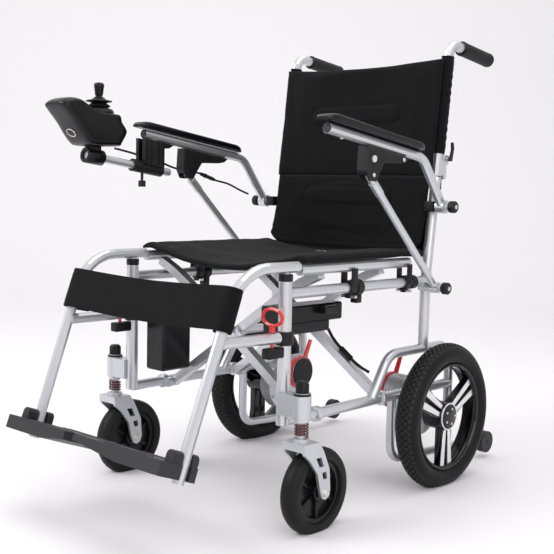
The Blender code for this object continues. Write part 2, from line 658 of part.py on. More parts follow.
def release_ring():
    """Pull ring on the latch pin."""
    x, y = FRAME_X, -0.2830
    pin = rod((x, y, 0.3442), (x, y, 0.3800), 0.0034, 10)
    stem = rod((x, y, 0.3722), (x, y, 0.3860), 0.0058, 12, 0.0048)
    points = [(x + 0.0240 * math.cos(a), y, 0.3990 + 0.0150 * math.sin(a))
              for a in (2 * math.pi * k / 14 for k in range(14))]
    curve = bpy.data.curves.new("loop", "CURVE")
    curve.dimensions = "3D"
    curve.bevel_depth = 0.0032
    curve.bevel_resolution = 1
    spline = curve.splines.new("POLY")
    spline.points.add(len(points) - 1)
    spline.use_cyclic_u = True
    for knot, point in zip(spline.points, points):
        knot.co = (*point, 1.0)
    loop = bpy.data.objects.new("loop", curve)
    WORK.objects.link(loop)
    both(fused([settle(loop), stem, pin]), "release_ring", "red_plastic", (x, y, 0.3722))


def calf_strap():
    low, high = [(z - LEG_FOOT[2]) / math.cos(LEG_TILT) for z in (0.386, 0.452)]
    ahead = Vector((0, -math.cos(LEG_TILT), math.sin(LEG_TILT)))
    corners = [leg_point(low) + ahead * 0.0118, leg_point(high) + ahead * 0.0118,
               leg_point(high) + ahead * 0.0165, leg_point(low) + ahead * 0.0165]
    strap = plate([(c.y, c.z) for c in corners], 0.0010, 0.2230)
    both(strap, "calf_strap", "black_fabric", side(POST_Y, 0.4200))


def footplate(hand):
    """Plate with two ears that clasp the leg tube; the two plates lap at the middle of the chair."""
    pin = leg_point(PIN_RISE)
    x0 = LEG_FOOT[0]
    top, deep = -0.0115, -0.0365
    shoulder = 0.108  # the plate thins from here to its tip

    def slab(x_in, x_out, u_low, u_high, n_in, n_out):
        """A block in the plate's own axes, its underside sloping from n_in to n_out."""
        bm = bmesh.new()
        bmesh.ops.create_cube(bm, size=1.0)
        for v in bm.verts:
            inner = v.co.x < 0
            x = x_in if inner else x_out
            u = u_low if v.co.y < 0 else u_high
            n = top if v.co.z > 0 else (n_in if inner else n_out)
            v.co = (x, u, n)
        return link_bmesh(bm)

    tip_n, mid_n = -0.0225, -0.0275
    if hand > 0:
        inner = [slab(-0.016, 0.032, 0.018, 0.060, tip_n, mid_n),
                 slab(0.030, shoulder + 0.002, -0.060, 0.060, mid_n, deep)]
    else:
        inner = [slab(-0.008, 0.044, -0.060, 0.017, tip_n, mid_n),
                 slab(0.042, shoulder + 0.002, -0.060, 0.060, mid_n, deep)]
    body = slab(shoulder, 0.1780, -0.060, 0.060, deep, deep)
    wings = [slab(0.1760, x0 + 0.012, 0.0112, 0.060, deep, deep),
             slab(0.1760, x0 + 0.012, -0.026, -0.0112, deep, deep)]
    bridge = slab(0.1770, x0 - 0.0112, -0.02, 0.02, deep, deep)
    ears = []
    for u_low, u_high in ((0.0112, 0.034), (-0.026, -0.0112)):
        ears.append(rod((x0, u_low, 0), (x0, u_high, 0), 0.0095, 14))
        ears.append(box((x0 - 0.0095, u_low, top - 0.002), (x0 + 0.0095, u_high, 0)))
    plate_solid = fused([body, bridge, *inner, *wings, *ears])
    # own axes: x across, u forward, n up along the leg
    up = Vector((0, math.sin(LEG_TILT), math.cos(LEG_TILT)))
    ahead = Vector((0, -math.cos(LEG_TILT), math.sin(LEG_TILT)))
    frame = Matrix.Translation((0, pin.y, pin.z)) @ Matrix((
        (hand, 0, 0, 0), (0, ahead.y, up.y, 0), (0, ahead.z, up.z, 0), (0, 0, 0, 1)))
    plate_solid.data.transform(frame)
    bm = bmesh.new()
    bm.from_mesh(plate_solid.data)
    bpy.data.objects.remove(plate_solid, do_unlink=True)
    name = "left_footplate" if hand > 0 else "right_footplate"
    finish(link_bmesh(bm), name, "grey_plastic", (hand * x0, pin.y, pin.z))


# ---- battery and drive electronics --------------------------------------------------------
def battery_box():
    case = box((-0.1850, -0.2380, 0.2450), (-0.1300, -0.1600, 0.4080), 0.004)
    hanger = box((-0.2034, -0.2320, 0.3900), (-0.1840, -0.1900, 0.4050), 0.002)
    finish(fused([case, hanger]), "battery_box", SATIN)


def controller_box():
    upper = box((0.1350, -0.2300, 0.3740), (0.1850, -0.0460, 0.4080), 0.003)
    lower = box((0.1370, -0.2250, 0.3540), (0.1830, -0.0830, 0.3760), 0.002)
    hanger = box((0.1840, -0.1200, 0.3900), (0.2034, -0.0800, 0.4050), 0.002)
    finish(fused([upper, lower, hanger]), "controller_box", SATIN)


def motor_cable():
    """Lead tied along the rear member of leg A, with its ties and in-line connector."""
    slope = math.atan2(PIVOT_Z - LOW_Z, FOOT_X)
    y = LEAF_Y["a"][1]
    lift = LEAF_T / 2 + 0.0066

    def on_leg(x, off):
        base = Vector((x, y, PIVOT_Z - x * math.tan(slope)))
        return base + Vector((math.sin(slope), 0, math.cos(slope))) * off

    offsets = [0.010, 0.004, 0.001, 0.000, 0.002, 0.000, 0.001, 0.004, 0.009]
    path = [on_leg(0.045 + 0.014 * k, lift + rise) for k, rise in enumerate(offsets)]
    lead = tube(path, 0.0034, level=2)
    plug = rod(path[3], path[5], 0.0060, 10)
    finish(fused([lead, plug]), "motor_cable", "cable_rubber", (FOOT_X, 0, LOW_Z))


# ---- joystick controller ------------------------------------------------------------------
def mount_z(y):
    """Height of the controller tube's axis."""
    return 0.6865 - 0.134 * (y + 0.345)


def joystick_case():
    outline = [(-0.4220, 0.7820), (-0.4130, 0.7920), (-0.3970, 0.7970), (-0.3800, 0.7950),
               (-0.3390, 0.7740), (-0.2800, 0.7700), (-0.2730, 0.7550), (-0.2590, 0.7350),
               (-0.2740, 0.7090), (-0.2800, 0.7050), (-0.3550, 0.7050), (-0.3940, 0.7510)]
    shell = bellied(outline, (-0.3350, 0.7520), STICK[0],
                    ((0.0380, 0.70), (0.0340, 0.84), (0.0240, 0.96), (0.0100, 1.0)))
    start, end = Vector((-0.254, -0.3450, mount_z(-0.3450))), Vector((-0.254, -0.3020, mount_z(-0.3020)))
    clamp = rod(start, end, 0.0160, 18)
    neck = box((-0.2640, -0.3380, 0.690), (-0.2440, -0.3100, 0.7080))
    run = (end - start).normalized()
    bore = rod(start - run * 0.02, end + run * 0.02, 0.0090, 14)
    pocket = rod(BUTTON - PANEL_NORMAL * 0.0050, BUTTON + PANEL_NORMAL * 0.0100, 0.0066, 14)
    finish(fused([shell, clamp, neck], [bore, pocket]), "joystick_case", SATIN, tuple(start))


def power_button():
    button = rod(BUTTON - PANEL_NORMAL * 0.0025, BUTTON + PANEL_NORMAL * 0.0020, 0.0060, 14)
    finish(button, "power_button", "white_plastic", tuple(BUTTON))


def joystick():
    """Bellows boot and the knob on top of it."""
    boot = [(0.0060, 0.8060), (0.0090, 0.8045), (0.0270, 0.7965), (0.0270, 0.7950), (0.0140, 0.7925),
            (0.0235, 0.7870), (0.0235, 0.7855), (0.0175, 0.7830), (0.0285, 0.7785), (0.0285, 0.7750)]
    boot = [(0.0, 0.8060), *boot, (0.0, 0.7750)]
    x, y, z = STICK
    finish(turned(boot, (x, y, 0), (0, 0, 1), 16), "joystick_boot", "grip_rubber", STICK)
    knob = [(0.0, 0.8340), (0.0080, 0.8340), (0.0105, 0.8315), (0.0105, 0.8250), (0.0085, 0.8090),
            (0.0070, 0.8064), (0.0, 0.8064)]
    finish(turned(knob, (x, y, 0), (0, 0, 1), 14), "joystick_knob", SATIN, STICK)


def mount_tube():
    start, end = [(-0.254, y, mount_z(y)) for y in (-0.3400, -0.1200)]
    finish(rod(start, end, 0.0085, 14), "mount_tube", SILVER, start)


def mount_clamp():
    """Bracket under the front of the right arm tube that holds the controller tube."""
    x = -ARM_X
    start, end = [Vector((x, y, mount_z(y))) for y in (-0.2230, -0.1440)]
    sleeve = rod(start, end, 0.0135, 18)
    cheeks = []
    for s in (-1, 1):
        top = [(y, arm_line(y) - 0.0108) for y in (-0.1450, -0.2000)]
        outline = [(-0.2000, mount_z(-0.2) + 0.006), (-0.1450, mount_z(-0.145) + 0.006), *top]
        cheeks.append(plate(outline, x + s * 0.0105 - 0.0045, x + s * 0.0105 + 0.0045))
    ribs = box((x - 0.012, -0.1760, 0.690), (x + 0.012, -0.1660, 0.712))
    stop = plate([(-0.1480, arm_line(-0.1480) - 0.0113), (-0.1480, 0.7070), (-0.1300, 0.7080),
                  (-0.1160, arm_line(-0.1160) - 0.0113)], x - 0.0125, x + 0.0125)
    run = (end - start).normalized()
    bore = rod(start - run * 0.02, end + run * 0.02, 0.0090, 14)
    screw_hole = rod((x, -0.1950, 0.63), (x, -0.1950, mount_z(-0.195)), 0.0036, 12)
    finish(fused([sleeve, *cheeks, ribs, stop], [bore, screw_hole]), "mount_clamp", BLACK)


def thumb_screw():
    x, y = -ARM_X, -0.1950
    shaft = rod((x, y, 0.634), (x, y, mount_z(y) - 0.0093), 0.0030, 10)
    knob = rod((x, y, 0.6240), (x, y, 0.6375), 0.0080, 12)
    finish(fused([knob, shaft]), "thumb_screw", BLACK, (x, y, 0.6240))


def joystick_cable():
    """Lead from the controller along the right armrest to its pivot, with an in-line connector."""
    route = [(-0.2700, -0.2560, 0.7030), (-0.2720, -0.2400, 0.7010), (-0.2725, -0.1950, 0.6930),
             (-0.2725, -0.1300, 0.6790), (-0.2725, -0.0900, 0.6680), (-0.2725, -0.0500, 0.6610),
             (-0.2725, -0.0090, 0.6570), (-0.2725, 0.0390, 0.6430), (-0.2725, 0.0820, 0.6350),
             (-0.2725, 0.1220, 0.6210), (-0.2720, 0.1500, 0.6120)]
    lead = tube(route, 0.0022, level=2)
    plug = rod(route[6], route[7], 0.0045, 10)
    finish(fused([lead, plug]), "joystick_cable", "cable_rubber", (-ARM_X, *ARM_PIVOT))


# ---- assembly -----------------------------------------------------------------------------
clear_scene()
PARTS = new_collection("power_wheelchair")
WORK = new_collection("construction")
MATERIALS = {
    SILVER: make_material(SILVER, (0.62, 0.63, 0.65), 0.38, 0.55),
    BLACK: make_material(BLACK, (0.020, 0.020, 0.022), 0.50),
    SATIN: make_material(SATIN, (0.012, 0.012, 0.013), 0.32),
    "black_fabric": make_material("black_fabric", (0.012, 0.013, 0.015), 0.85),
    "tyre_rubber": make_material("tyre_rubber", (0.015, 0.015, 0.016), 0.70),
    "rim_black": make_material("rim_black", (0.010, 0.010, 0.011), 0.18),
    "grip_rubber": make_material("grip_rubber", (0.018, 0.018, 0.019), 0.60),
    "grey_plastic": make_material("grey_plastic", (0.055, 0.057, 0.062), 0.55),
    "red_plastic": make_material("red_plastic", (0.62, 0.025, 0.018), 0.35),
    "spring_red": make_material("spring_red", (0.10, 0.010, 0.012), 0.30, 0.4),
    "white_plastic": make_material("white_plastic", (0.70, 0.70, 0.68), 0.35),
    "cable_rubber": make_material("cable_rubber", (0.012, 0.012, 0.012), 0.55),
}

side_frame("left_side_frame", "a")
side_frame("right_side_frame", "b")
caster_housing()
motor()
brake_lever()
drive_wheel()
anti_tip_wheel()
caster_spring()
caster_fork()
caster_wheel()
scissor_leg("a", 1, True)
scissor_leg("b", -1, False)
seat()
back_panel("back_lower", 0.5160, 0.6560, 0.4280, pouch=True)
back_panel("back_upper", 0.6620, 0.9050, 0.4360)
back_cane()
push_handle()
back_fold_lever()
armrest_tube()
armrest_pad()
armrest_latch()
latch_button()
arm_strut()
legrest()
release_ring()
calf_strap()
footplate(1)
footplate(-1)
battery_box()
controller_box()
motor_cable()
joystick_case()
power_button()
joystick()
mount_tube()
mount_clamp()
thumb_screw()
joystick_cable()

for part in PARTS.objects:
    part.location.y += ORIGIN_Y
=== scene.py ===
"""Looks of the folding power wheelchair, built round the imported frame. Metres, +Z up, facing -Y."""
import json
import math

import bmesh
import bpy
from mathutils import Matrix, Vector, noise


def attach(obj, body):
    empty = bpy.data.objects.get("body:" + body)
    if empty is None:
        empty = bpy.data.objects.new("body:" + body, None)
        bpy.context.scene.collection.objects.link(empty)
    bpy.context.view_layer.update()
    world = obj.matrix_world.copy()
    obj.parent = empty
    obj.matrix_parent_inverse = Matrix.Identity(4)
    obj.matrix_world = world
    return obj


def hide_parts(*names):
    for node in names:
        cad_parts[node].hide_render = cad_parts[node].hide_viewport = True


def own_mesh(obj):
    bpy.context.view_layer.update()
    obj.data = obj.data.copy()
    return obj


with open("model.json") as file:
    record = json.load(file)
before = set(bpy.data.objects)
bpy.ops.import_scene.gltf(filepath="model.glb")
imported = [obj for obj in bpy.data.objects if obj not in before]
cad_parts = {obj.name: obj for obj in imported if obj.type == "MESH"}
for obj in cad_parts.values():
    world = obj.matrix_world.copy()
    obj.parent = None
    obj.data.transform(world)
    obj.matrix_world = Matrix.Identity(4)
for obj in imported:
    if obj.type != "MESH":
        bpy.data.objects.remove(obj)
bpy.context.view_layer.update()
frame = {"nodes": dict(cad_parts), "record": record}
NODES = frame["nodes"]
DATUM_Y = 0.04035  # the drawing datum lies this far behind the row origin

# ---- dimensions shared with the frame, from the drawing datum ------------------------------
FRAME_X, TUBE_R, POST_R = 0.215, 0.011, 0.0125
POST_Y, REAR_Y, TOP_Z, LOW_Z = -0.25, 0.196, 0.4385, 0.205
AXLE_Y, AXLE_Z, WHEEL_X, WHEEL_R, TYRE_R = 0.199, 0.155, 0.269, 0.155, 0.0245
STEM_X, STEM_Y, CASTER_Y, CASTER_R = 0.265, -0.255, -0.215, 0.081
ARM_X, ARM_PIVOT, STRUT_FOOT = 0.254, (0.190, 0.5965), (0.175, 0.428)
LEG_FOOT, LEG_TILT = Vector((0.207, -0.497, 0.139)), math.radians(20.5)
HINGE_Y, HINGE_Z = 0.243, 0.6595
FOOT_X = 0.194  # pivots at the feet of the cross braces
MOTOR_Z = 0.190
STICK = (-0.254, -0.310, 0)
WHEEL_HUB = (WHEEL_X, AXLE_Y, AXLE_Z)
CASTER_HUB = (STEM_X, CASTER_Y, CASTER_R)
ALONG_X, ALONG_Z = (1, 0, 0), (0, 0, 1)


def cane_y(z):
    """Depth of the back canes, which lean back above the side rails."""
    return REAR_Y + max(0.0, z - TOP_Z) * 0.1175


def arm_line(y):
    """Height of the armrest tube's axis."""
    return 0.695 - 0.042 / 0.303 * (y - 0.111)


# ---- materials ----------------------------------------------------------------------------
def node(tree, kind, **values):
    """A shader node with its settings, or else its inputs, set by name."""
    made = tree.nodes.new("ShaderNode" + kind)
    for key, value in values.items():
        if hasattr(made, key):
            setattr(made, key, value)
        else:
            made.inputs[key.replace("_", " ")].default_value = value
    return made


def material(name, colour, rough, metallic=0.0, grain=900.0, bump=0.06, vary=0.12, coat=0.0,
             sheen=0.0, pattern=None, edge=0.0005, edge_highlight=0.0, gloss=0.5):
    """Principled surface with mottled colour, roughness and bump; pattern is weave or brushed; convex edges
    carry a painted highlight.
    """
    mat = bpy.data.materials.new(name)
    mat.use_nodes = True
    tree = mat.node_tree
    link = tree.links.new
    shader = tree.nodes["Principled BSDF"]
    shader.inputs["Metallic"].default_value = metallic
    shader.inputs["Specular IOR Level"].default_value = gloss
    shader.inputs["Coat Weight"].default_value = coat
    shader.inputs["Coat Roughness"].default_value = 0.12
    shader.inputs["Sheen Weight"].default_value = sheen
    shader.inputs["Sheen Roughness"].default_value = 0.45
    where = node(tree, "TexCoord")
    broad = node(tree, "TexNoise", Scale=14.0, Detail=4.0)
    fine = node(tree, "TexNoise", Scale=grain, Detail=3.0)
    for texture in (broad, fine):
        link(where.outputs["Object"], texture.inputs["Vector"])
    ramp = node(tree, "MapRange")
    ramp.inputs["To Min"].default_value = 1.0 - vary
    ramp.inputs["To Max"].default_value = 1.0 + vary
    link(broad.outputs["Fac"], ramp.inputs["Value"])
    tint = node(tree, "VectorMath", operation="SCALE")
    tint.inputs[0].default_value = colour
    link(ramp.outputs["Result"], tint.inputs["Scale"])
    base = tint.outputs["Vector"]
    # painted highlight: convex edges, found by pointiness, are lightened towards a brighter copy of the
    # colour
    if edge_highlight:
        edges = node(tree, "NewGeometry")
        highlight_mask = node(tree, "MapRange")
        highlight_mask.inputs["From Min"].default_value = 0.53
        highlight_mask.inputs["From Max"].default_value = 0.62
        highlight_mask.inputs["To Max"].default_value = edge_highlight
        link(edges.outputs["Pointiness"], highlight_mask.inputs["Value"])
        mix = node(tree, "Mix", data_type="RGBA")
        mix.inputs[7].default_value = (*[min(1.0, c * 2 + 0.05) for c in colour], 1.0)
        link(highlight_mask.outputs["Result"], mix.inputs[0])
        link(base, mix.inputs[6])
        base = mix.outputs[2]
    link(base, shader.inputs["Base Color"])
    spread = node(tree, "MapRange")
    spread.inputs["To Min"].default_value = max(0.02, rough - 0.07)
    spread.inputs["To Max"].default_value = min(1.0, rough + 0.07)
    link(fine.outputs["Fac"], spread.inputs["Value"])
    link(spread.outputs["Result"], shader.inputs["Roughness"])
    height = fine.outputs["Fac"]
    if pattern:
        split = node(tree, "SeparateXYZ")
        link(where.outputs["Object"], split.inputs["Vector"])
        rise = node(tree, "Math", operation="ADD")
        link(split.outputs["Y"], rise.inputs[0])
        link(split.outputs["Z"], rise.inputs[1])
        pitch = {"weave": 2900.0, "brushed": 2400.0}[pattern]
        waves = []
        for source in (split.outputs["X"], rise.outputs[0]):
            scaled = node(tree, "Math", operation="MULTIPLY")
            scaled.inputs[1].default_value = pitch
            link(source, scaled.inputs[0])
            sine = node(tree, "Math", operation="SINE")
            link(scaled.outputs[0], sine.inputs[0])
            waves.append(sine.outputs[0])
        cross = node(tree, "Math", operation="MULTIPLY" if pattern == "weave" else "ADD")
        link(waves[1], cross.inputs[0])
        if pattern == "weave":
            link(waves[0], cross.inputs[1])
        else:
            cross.inputs[1].default_value = 0.0
        total = node(tree, "Math", operation="MULTIPLY_ADD")
        total.inputs[1].default_value = 0.5
        link(cross.outputs[0], total.inputs[0])
        link(fine.outputs["Fac"], total.inputs[2])
        height = total.outputs[0]
    relief = node(tree, "Bump", Strength=bump, Distance=0.0006)
    link(height, relief.inputs["Height"])
    if edge:
        soften = node(tree, "Bevel", samples=3, Radius=edge)
        link(soften.outputs["Normal"], relief.inputs["Normal"])
    link(relief.outputs["Normal"], shader.inputs["Normal"])
    return mat


# the edge_highlight values set how strongly a painted highlight lightens convex edges
FINISHES = {
    "silver_paint": dict(colour=(0.60, 0.61, 0.64), rough=0.30,
        metallic=0.72, grain=1500, bump=0.03, vary=0.05, coat=0.35),
    "cast_silver": dict(colour=(0.56, 0.57, 0.60), rough=0.40,
        metallic=0.75, grain=500, bump=0.12, vary=0.07, coat=0.15),
    "black_plastic": dict(colour=(0.0050, 0.0050, 0.0058), rough=0.40,
        grain=1300, bump=0.16, edge_highlight=0.2, gloss=0.24),
    "black_satin": dict(colour=(0.0032, 0.0032, 0.0038), rough=0.25,
        grain=1100, bump=0.08, coat=0.03, edge_highlight=0.10, gloss=0.26),
    "black_fabric": dict(colour=(0.0052, 0.0053, 0.0060), rough=0.86,
        grain=420, bump=0.55, vary=0.30, sheen=0.05, pattern="weave", edge=0, gloss=0.10),
    "strap_webbing": dict(colour=(0.0040, 0.0041, 0.0047), rough=0.66,
        grain=500, bump=0.30, vary=0.25, sheen=0.02, pattern="weave", edge=0, gloss=0.09),
    "tyre_rubber": dict(colour=(0.0042, 0.0042, 0.0046), rough=0.50,
        grain=700, bump=0.25, vary=0.2, edge_highlight=0.25, gloss=0.20),
    "rim_black": dict(colour=(0.0025, 0.0025, 0.0030), rough=0.16,
        grain=300, bump=0.02, coat=0.12, gloss=0.34),
    "machined": dict(colour=(0.78, 0.78, 0.80), rough=0.22,
        metallic=0.95, grain=600, bump=0.10, vary=0.05, pattern="brushed"),
    "grip_rubber": dict(colour=(0.0060, 0.0060, 0.0065), rough=0.48,
        grain=900, bump=0.25, vary=0.15, gloss=0.32),
    "grey_plastic": dict(colour=(0.0110, 0.0112, 0.0128), rough=0.46,
        grain=800, bump=0.30, vary=0.12, edge_highlight=0.2, gloss=0.30),
    "red_plastic": dict(colour=(0.66, 0.020, 0.016), rough=0.28,
        grain=700, bump=0.05, vary=0.08, coat=0.5),
    "spring_red": dict(colour=(0.075, 0.004, 0.006), rough=0.26,
        metallic=0.2, grain=900, bump=0.05, vary=0.2, coat=0.4),
    "white_plastic": dict(colour=(0.60, 0.60, 0.57), rough=0.34,
        grain=900, bump=0.05, vary=0.05),
    "cable_rubber": dict(colour=(0.0050, 0.0050, 0.0055), rough=0.48,
        grain=1000, bump=0.10, vary=0.1, gloss=0.3),
    "bolt_zinc": dict(colour=(0.66, 0.65, 0.62), rough=0.32,
        metallic=0.9, grain=900, bump=0.10, vary=0.1),
}
M = {name: material(name, **values) for name, values in FINISHES.items()}


# ---- mesh helpers -------------------------------------------------------------------------
def rounded(points, bends, steps=9):
    """A path through points whose inner corners are arcs of the given radii."""
    points = [Vector(p) for p in points]
    path = [points[0]]
    for before, corner, after, radius in zip(points, points[1:], points[2:], bends):
        back, ahead = (before - corner).normalized(), (after - corner).normalized()
        half = back.angle(ahead) / 2
        centre = corner + (back + ahead).normalized() * (radius / math.sin(half))
        first = corner + back * (radius / math.tan(half)) - centre
        last = corner + ahead * (radius / math.tan(half)) - centre
        turn = first.angle(last)
        axis = first.cross(last)
        path += [centre + Matrix.Rotation(turn * k / steps, 3, axis) @ first for k in range(steps + 1)]
    return path + [points[-1]]


def bridge(bm, rings, closed=False):
    """Skin between rings of equal length, capped at both ends unless they close on themselves."""
    pairs = list(zip(rings, rings[1:])) + ([(rings[-1], rings[0])] if closed else [])
    for low, high in pairs:
        for j in range(len(low)):
            n = (j + 1) % len(low)
            bm.faces.new((low[j], low[n], high[n], high[j]))
    if not closed:
        bm.faces.new(rings[0][::-1])
        bm.faces.new(rings[-1])


def spline(a, b, c, d, t):
    """Catmull-Rom point at the share t of the way from b to c."""
    return 0.5 * (2 * b + (c - a) * t + (2 * a - 5 * b + 4 * c - d) * t * t
                  + (3 * b - 3 * c + d - a) * t ** 3)


def sweep(points, radius, bends=(), sides=20, closed=False):
    """A round tube along a path; radius may be one number or one for each point."""
    path = rounded(points, bends) if bends else [Vector(p) for p in points]
    count = len(path)
    radii = radius if isinstance(radius, (list, tuple)) else [radius] * count
    runs = []
    for k in range(count):
        a = path[(k - 1) % count] if closed or k else path[0]
        b = path[(k + 1) % count] if closed or k < count - 1 else path[-1]
        runs.append((b - a).normalized())
    normal = runs[0].orthogonal().normalized()
    bm = bmesh.new()
    rings = []
    for k, (point, run) in enumerate(zip(path, runs)):
        if k:
            normal = (normal - run * normal.dot(run)).normalized()
        other = run.cross(normal)
        rings.append([bm.verts.new(point + (normal * math.cos(a) + other * math.sin(a)) * radii[k])
                      for a in (2 * math.pi * j / sides for j in range(sides))])
    bridge(bm, rings, closed)
    return bm


def bar(start, end, radius, end_radius=None, sides=24, soft=0.0008):
    """A round bar with softened ends."""
    start, end = Vector(start), Vector(end)
    run = (end - start).normalized()
    far = end_radius or radius
    path = [start, start + run * soft, end - run * soft, end]
    return sweep(path, [radius - soft, radius, far, far - soft], sides=sides)


def lathe(profile, origin, axis, steps=48):
    """A closed profile of (radius, along) points turned round an axis."""
    turn = Vector(axis).to_track_quat("Z", "Y").to_matrix()
    bm = bmesh.new()
    rings = []
    for radius, along in profile:
        if radius < 1e-6:
            rings.append([bm.verts.new(Vector(origin) + turn @ Vector((0, 0, along)))])
            continue
        rings.append([bm.verts.new(Vector(origin) + turn @ Vector(
            (radius * math.cos(a), radius * math.sin(a), along)))
            for a in (2 * math.pi * k / steps for k in range(steps))])
    hollow = profile[0][0] > 1e-6
    pairs = list(zip(rings, rings[1:])) + ([(rings[-1], rings[0])] if hollow else [])
    for low, high in pairs:
        for k in range(steps):
            n = (k + 1) % steps
            corners = [low[k % len(low)], low[n % len(low)], high[n % len(high)], high[k % len(high)]]
            kept = [c for i, c in enumerate(corners) if c not in corners[:i]]
            if len(kept) > 2:
                bm.faces.new(kept)
    return bm


def block(low, high, bevel=0.0015, segments=3):
    """A box with rounded edges."""
    low, high = Vector(low), Vector(high)
    bm = bmesh.new()
    bmesh.ops.create_cube(bm, size=1.0)
    bmesh.ops.scale(bm, vec=high - low, verts=bm.verts)
    bmesh.ops.translate(bm, vec=(low + high) / 2, verts=bm.verts)
    bmesh.ops.bevel(bm, geom=bm.edges[:], offset=bevel, segments=segments, affect="EDGES", profile=0.5)
    return bm


def moved_by(bm, matrix):
    bm.transform(matrix)
    return bm


def build(name, bodies, finish_name, solids, replaces=(), mirror=False, angle=40):
    """One object from several solids, shifted to the row frame, riding on a CAD body."""
    joined = bmesh.new()
    for solid in solids:
        temp = bpy.data.meshes.new("temp")
        solid.to_mesh(temp)
        joined.from_mesh(temp)
        bpy.data.meshes.remove(temp)
    if mirror:
        bmesh.ops.scale(joined, vec=(-1, 1, 1), verts=joined.verts)
    bmesh.ops.translate(joined, vec=(0, DATUM_Y, 0), verts=joined.verts)
    bmesh.ops.recalc_face_normals(joined, faces=joined.faces)
    mesh = bpy.data.meshes.new(name)
    joined.to_mesh(mesh)
    joined.free()
    obj = bpy.data.objects.new(name, mesh)
    bpy.context.scene.collection.objects.link(obj)
    obj.data.materials.append(M[finish_name])
    smooth(obj, angle)
    if bodies:
        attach(obj, bodies)
    if replaces:
        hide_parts(*replaces)
    return obj


def smooth(obj, angle=40):
    """Smooth shading, split at edges sharper than the angle in degrees."""
    for face in obj.data.polygons:
        face.use_smooth = True
    split = obj.modifiers.new("crease", "EDGE_SPLIT")
    split.split_angle = math.radians(angle)


def both(name, body, finish_name, make, replaces=(), angle=40):
    """A left and a right piece; make() returns fresh solids for the left side."""
    made = []
    for hand, mirror in (("left", False), ("right", True)):
        made.append(build(f"{hand}_{name}", f"{hand}_{body}", finish_name, make(),
                          [f"{hand}_{n}" for n in replaces], mirror, angle))
    return made


def side(y, z):
    """A point in the plane of the left side frame."""
    return (FRAME_X, y, z)


# ---- CAD nodes that keep their shape --------------------------------------------------------
SLOTS = {piece["node"]: piece["material_slot"] for piece in frame["record"]["subparts"]}
for name, obj in NODES.items():
    is_cast = name.endswith(("caster_housing", "caster_fork", "motor"))
    obj.data.materials.clear()
    obj.data.materials.append(M["cast_silver" if is_cast else SLOTS[name]])
    smooth(obj, 38)


# ---- side frames ---------------------------------------------------------------------------
def frame_tubes():
    """Welded tubes of the left side frame, its axle plate, stub axles and anti-tip block."""
    x = FRAME_X
    return [
        bar(side(POST_Y, 0.199), side(POST_Y, 0.462), POST_R, sides=28),
        bar(side(POST_Y, TOP_Z), side(REAR_Y, TOP_Z), TUBE_R - 0.0004),
        sweep([side(REAR_Y, 0.290), side(REAR_Y, TOP_Z), side(cane_y(0.6585), 0.6585)], TUBE_R, [0.05], 28),
        bar(side(POST_Y, LOW_Z), side(0.300, LOW_Z), TUBE_R - 0.0005),
        sweep([side(0.015, LOW_Z), side(0.0725, 0.293), side(0.300, 0.293), side(0.300, 0.060)],
              TUBE_R - 0.001, [0.05, 0.045], 24),
        sweep([side(0.087, LOW_Z), side(0.087, 0.070), side(0.412, 0.0505)], 0.009, [0.035], 22),
        bar((x - 0.004, AXLE_Y, AXLE_Z), (x + 0.004, AXLE_Y, AXLE_Z), 0.050, sides=48),
        bar((x, AXLE_Y, AXLE_Z), (0.2790, AXLE_Y, AXLE_Z), 0.008),
        block((x - 0.004, 0.400, 0.040), (x + 0.004, 0.452, 0.060), 0.0018),
        bar((x, *STRUT_FOOT), (0.2420, *STRUT_FOOT), 0.0095),
        bar((0.2400, *STRUT_FOOT), (0.2730, *STRUT_FOOT), 0.006),
        bar((0.2300, *ARM_PIVOT), (0.2730, *ARM_PIVOT), 0.006),
    ]


def frame_black():
    """Post cap, collars, latch block, seat-rail saddles, pivot blocks and their round caps."""
    x = FRAME_X
    made = [
        lathe([(POST_R - 0.0005, 0.461), (POST_R + 0.0006, 0.4625), (POST_R + 0.0006, 0.473),
               (POST_R - 0.001, 0.4745), (0.0068, 0.4745), (0.0068, 0.461)], side(POST_Y, 0), ALONG_Z, 32),
        bar(side(POST_Y, 0.346), side(POST_Y, 0.371), 0.0165, sides=32, soft=0.0015),
        block((x - 0.010, -0.300, 0.3245), (x + 0.010, POST_Y - POST_R + 0.003, 0.3435), 0.003),
        bar(side(-0.052, TOP_Z), side(-0.034, TOP_Z), 0.0155, sides=28, soft=0.0012),
        block((x - 0.0085, -0.051, 0.408), (x + 0.0085, -0.035, TOP_Z - 0.008), 0.002),
        bar(side(0.134, TOP_Z), side(0.150, TOP_Z), 0.0145, sides=28, soft=0.001),
        block((x + 0.0015, ARM_PIVOT[0] - 0.011, ARM_PIVOT[1] - 0.011),
              (0.2380, 0.222, ARM_PIVOT[1] + 0.011)),
        block((x - 0.008, 0.222, 0.632), (x - 0.0004, 0.2460, 0.6575)),
        bar((x - 0.0085, HINGE_Y, HINGE_Z), (x - 0.0008, HINGE_Y, HINGE_Z), 0.006),
        bar((x - 0.002, 0.445, 0.047), (0.2375, 0.445, 0.047), 0.004),
    ]
    made += [bar((0.2724, *p), (0.2880, *p), 0.0125, sides=28, soft=0.0025) for p in (ARM_PIVOT, STRUT_FOOT)]
    for y, half in ((-0.0655, 0.009), (0.118, 0.008)):
        made.append(bar(side(y - half - 0.0008, TOP_Z), side(y + half + 0.0008, TOP_Z), 0.0150, sides=28))
        made += [block((x + s * 0.01285 - 0.0015, y - half, TOP_Z + 0.002),
                       (x + s * 0.01285 + 0.0015, y + half, 0.477), 0.0008) for s in (-1, 1)]
        made.append(block((x - 0.006, y - half * 0.7, TOP_Z - 0.020),
                          (x + 0.006, y + half * 0.7, TOP_Z - 0.0125)))
    return made


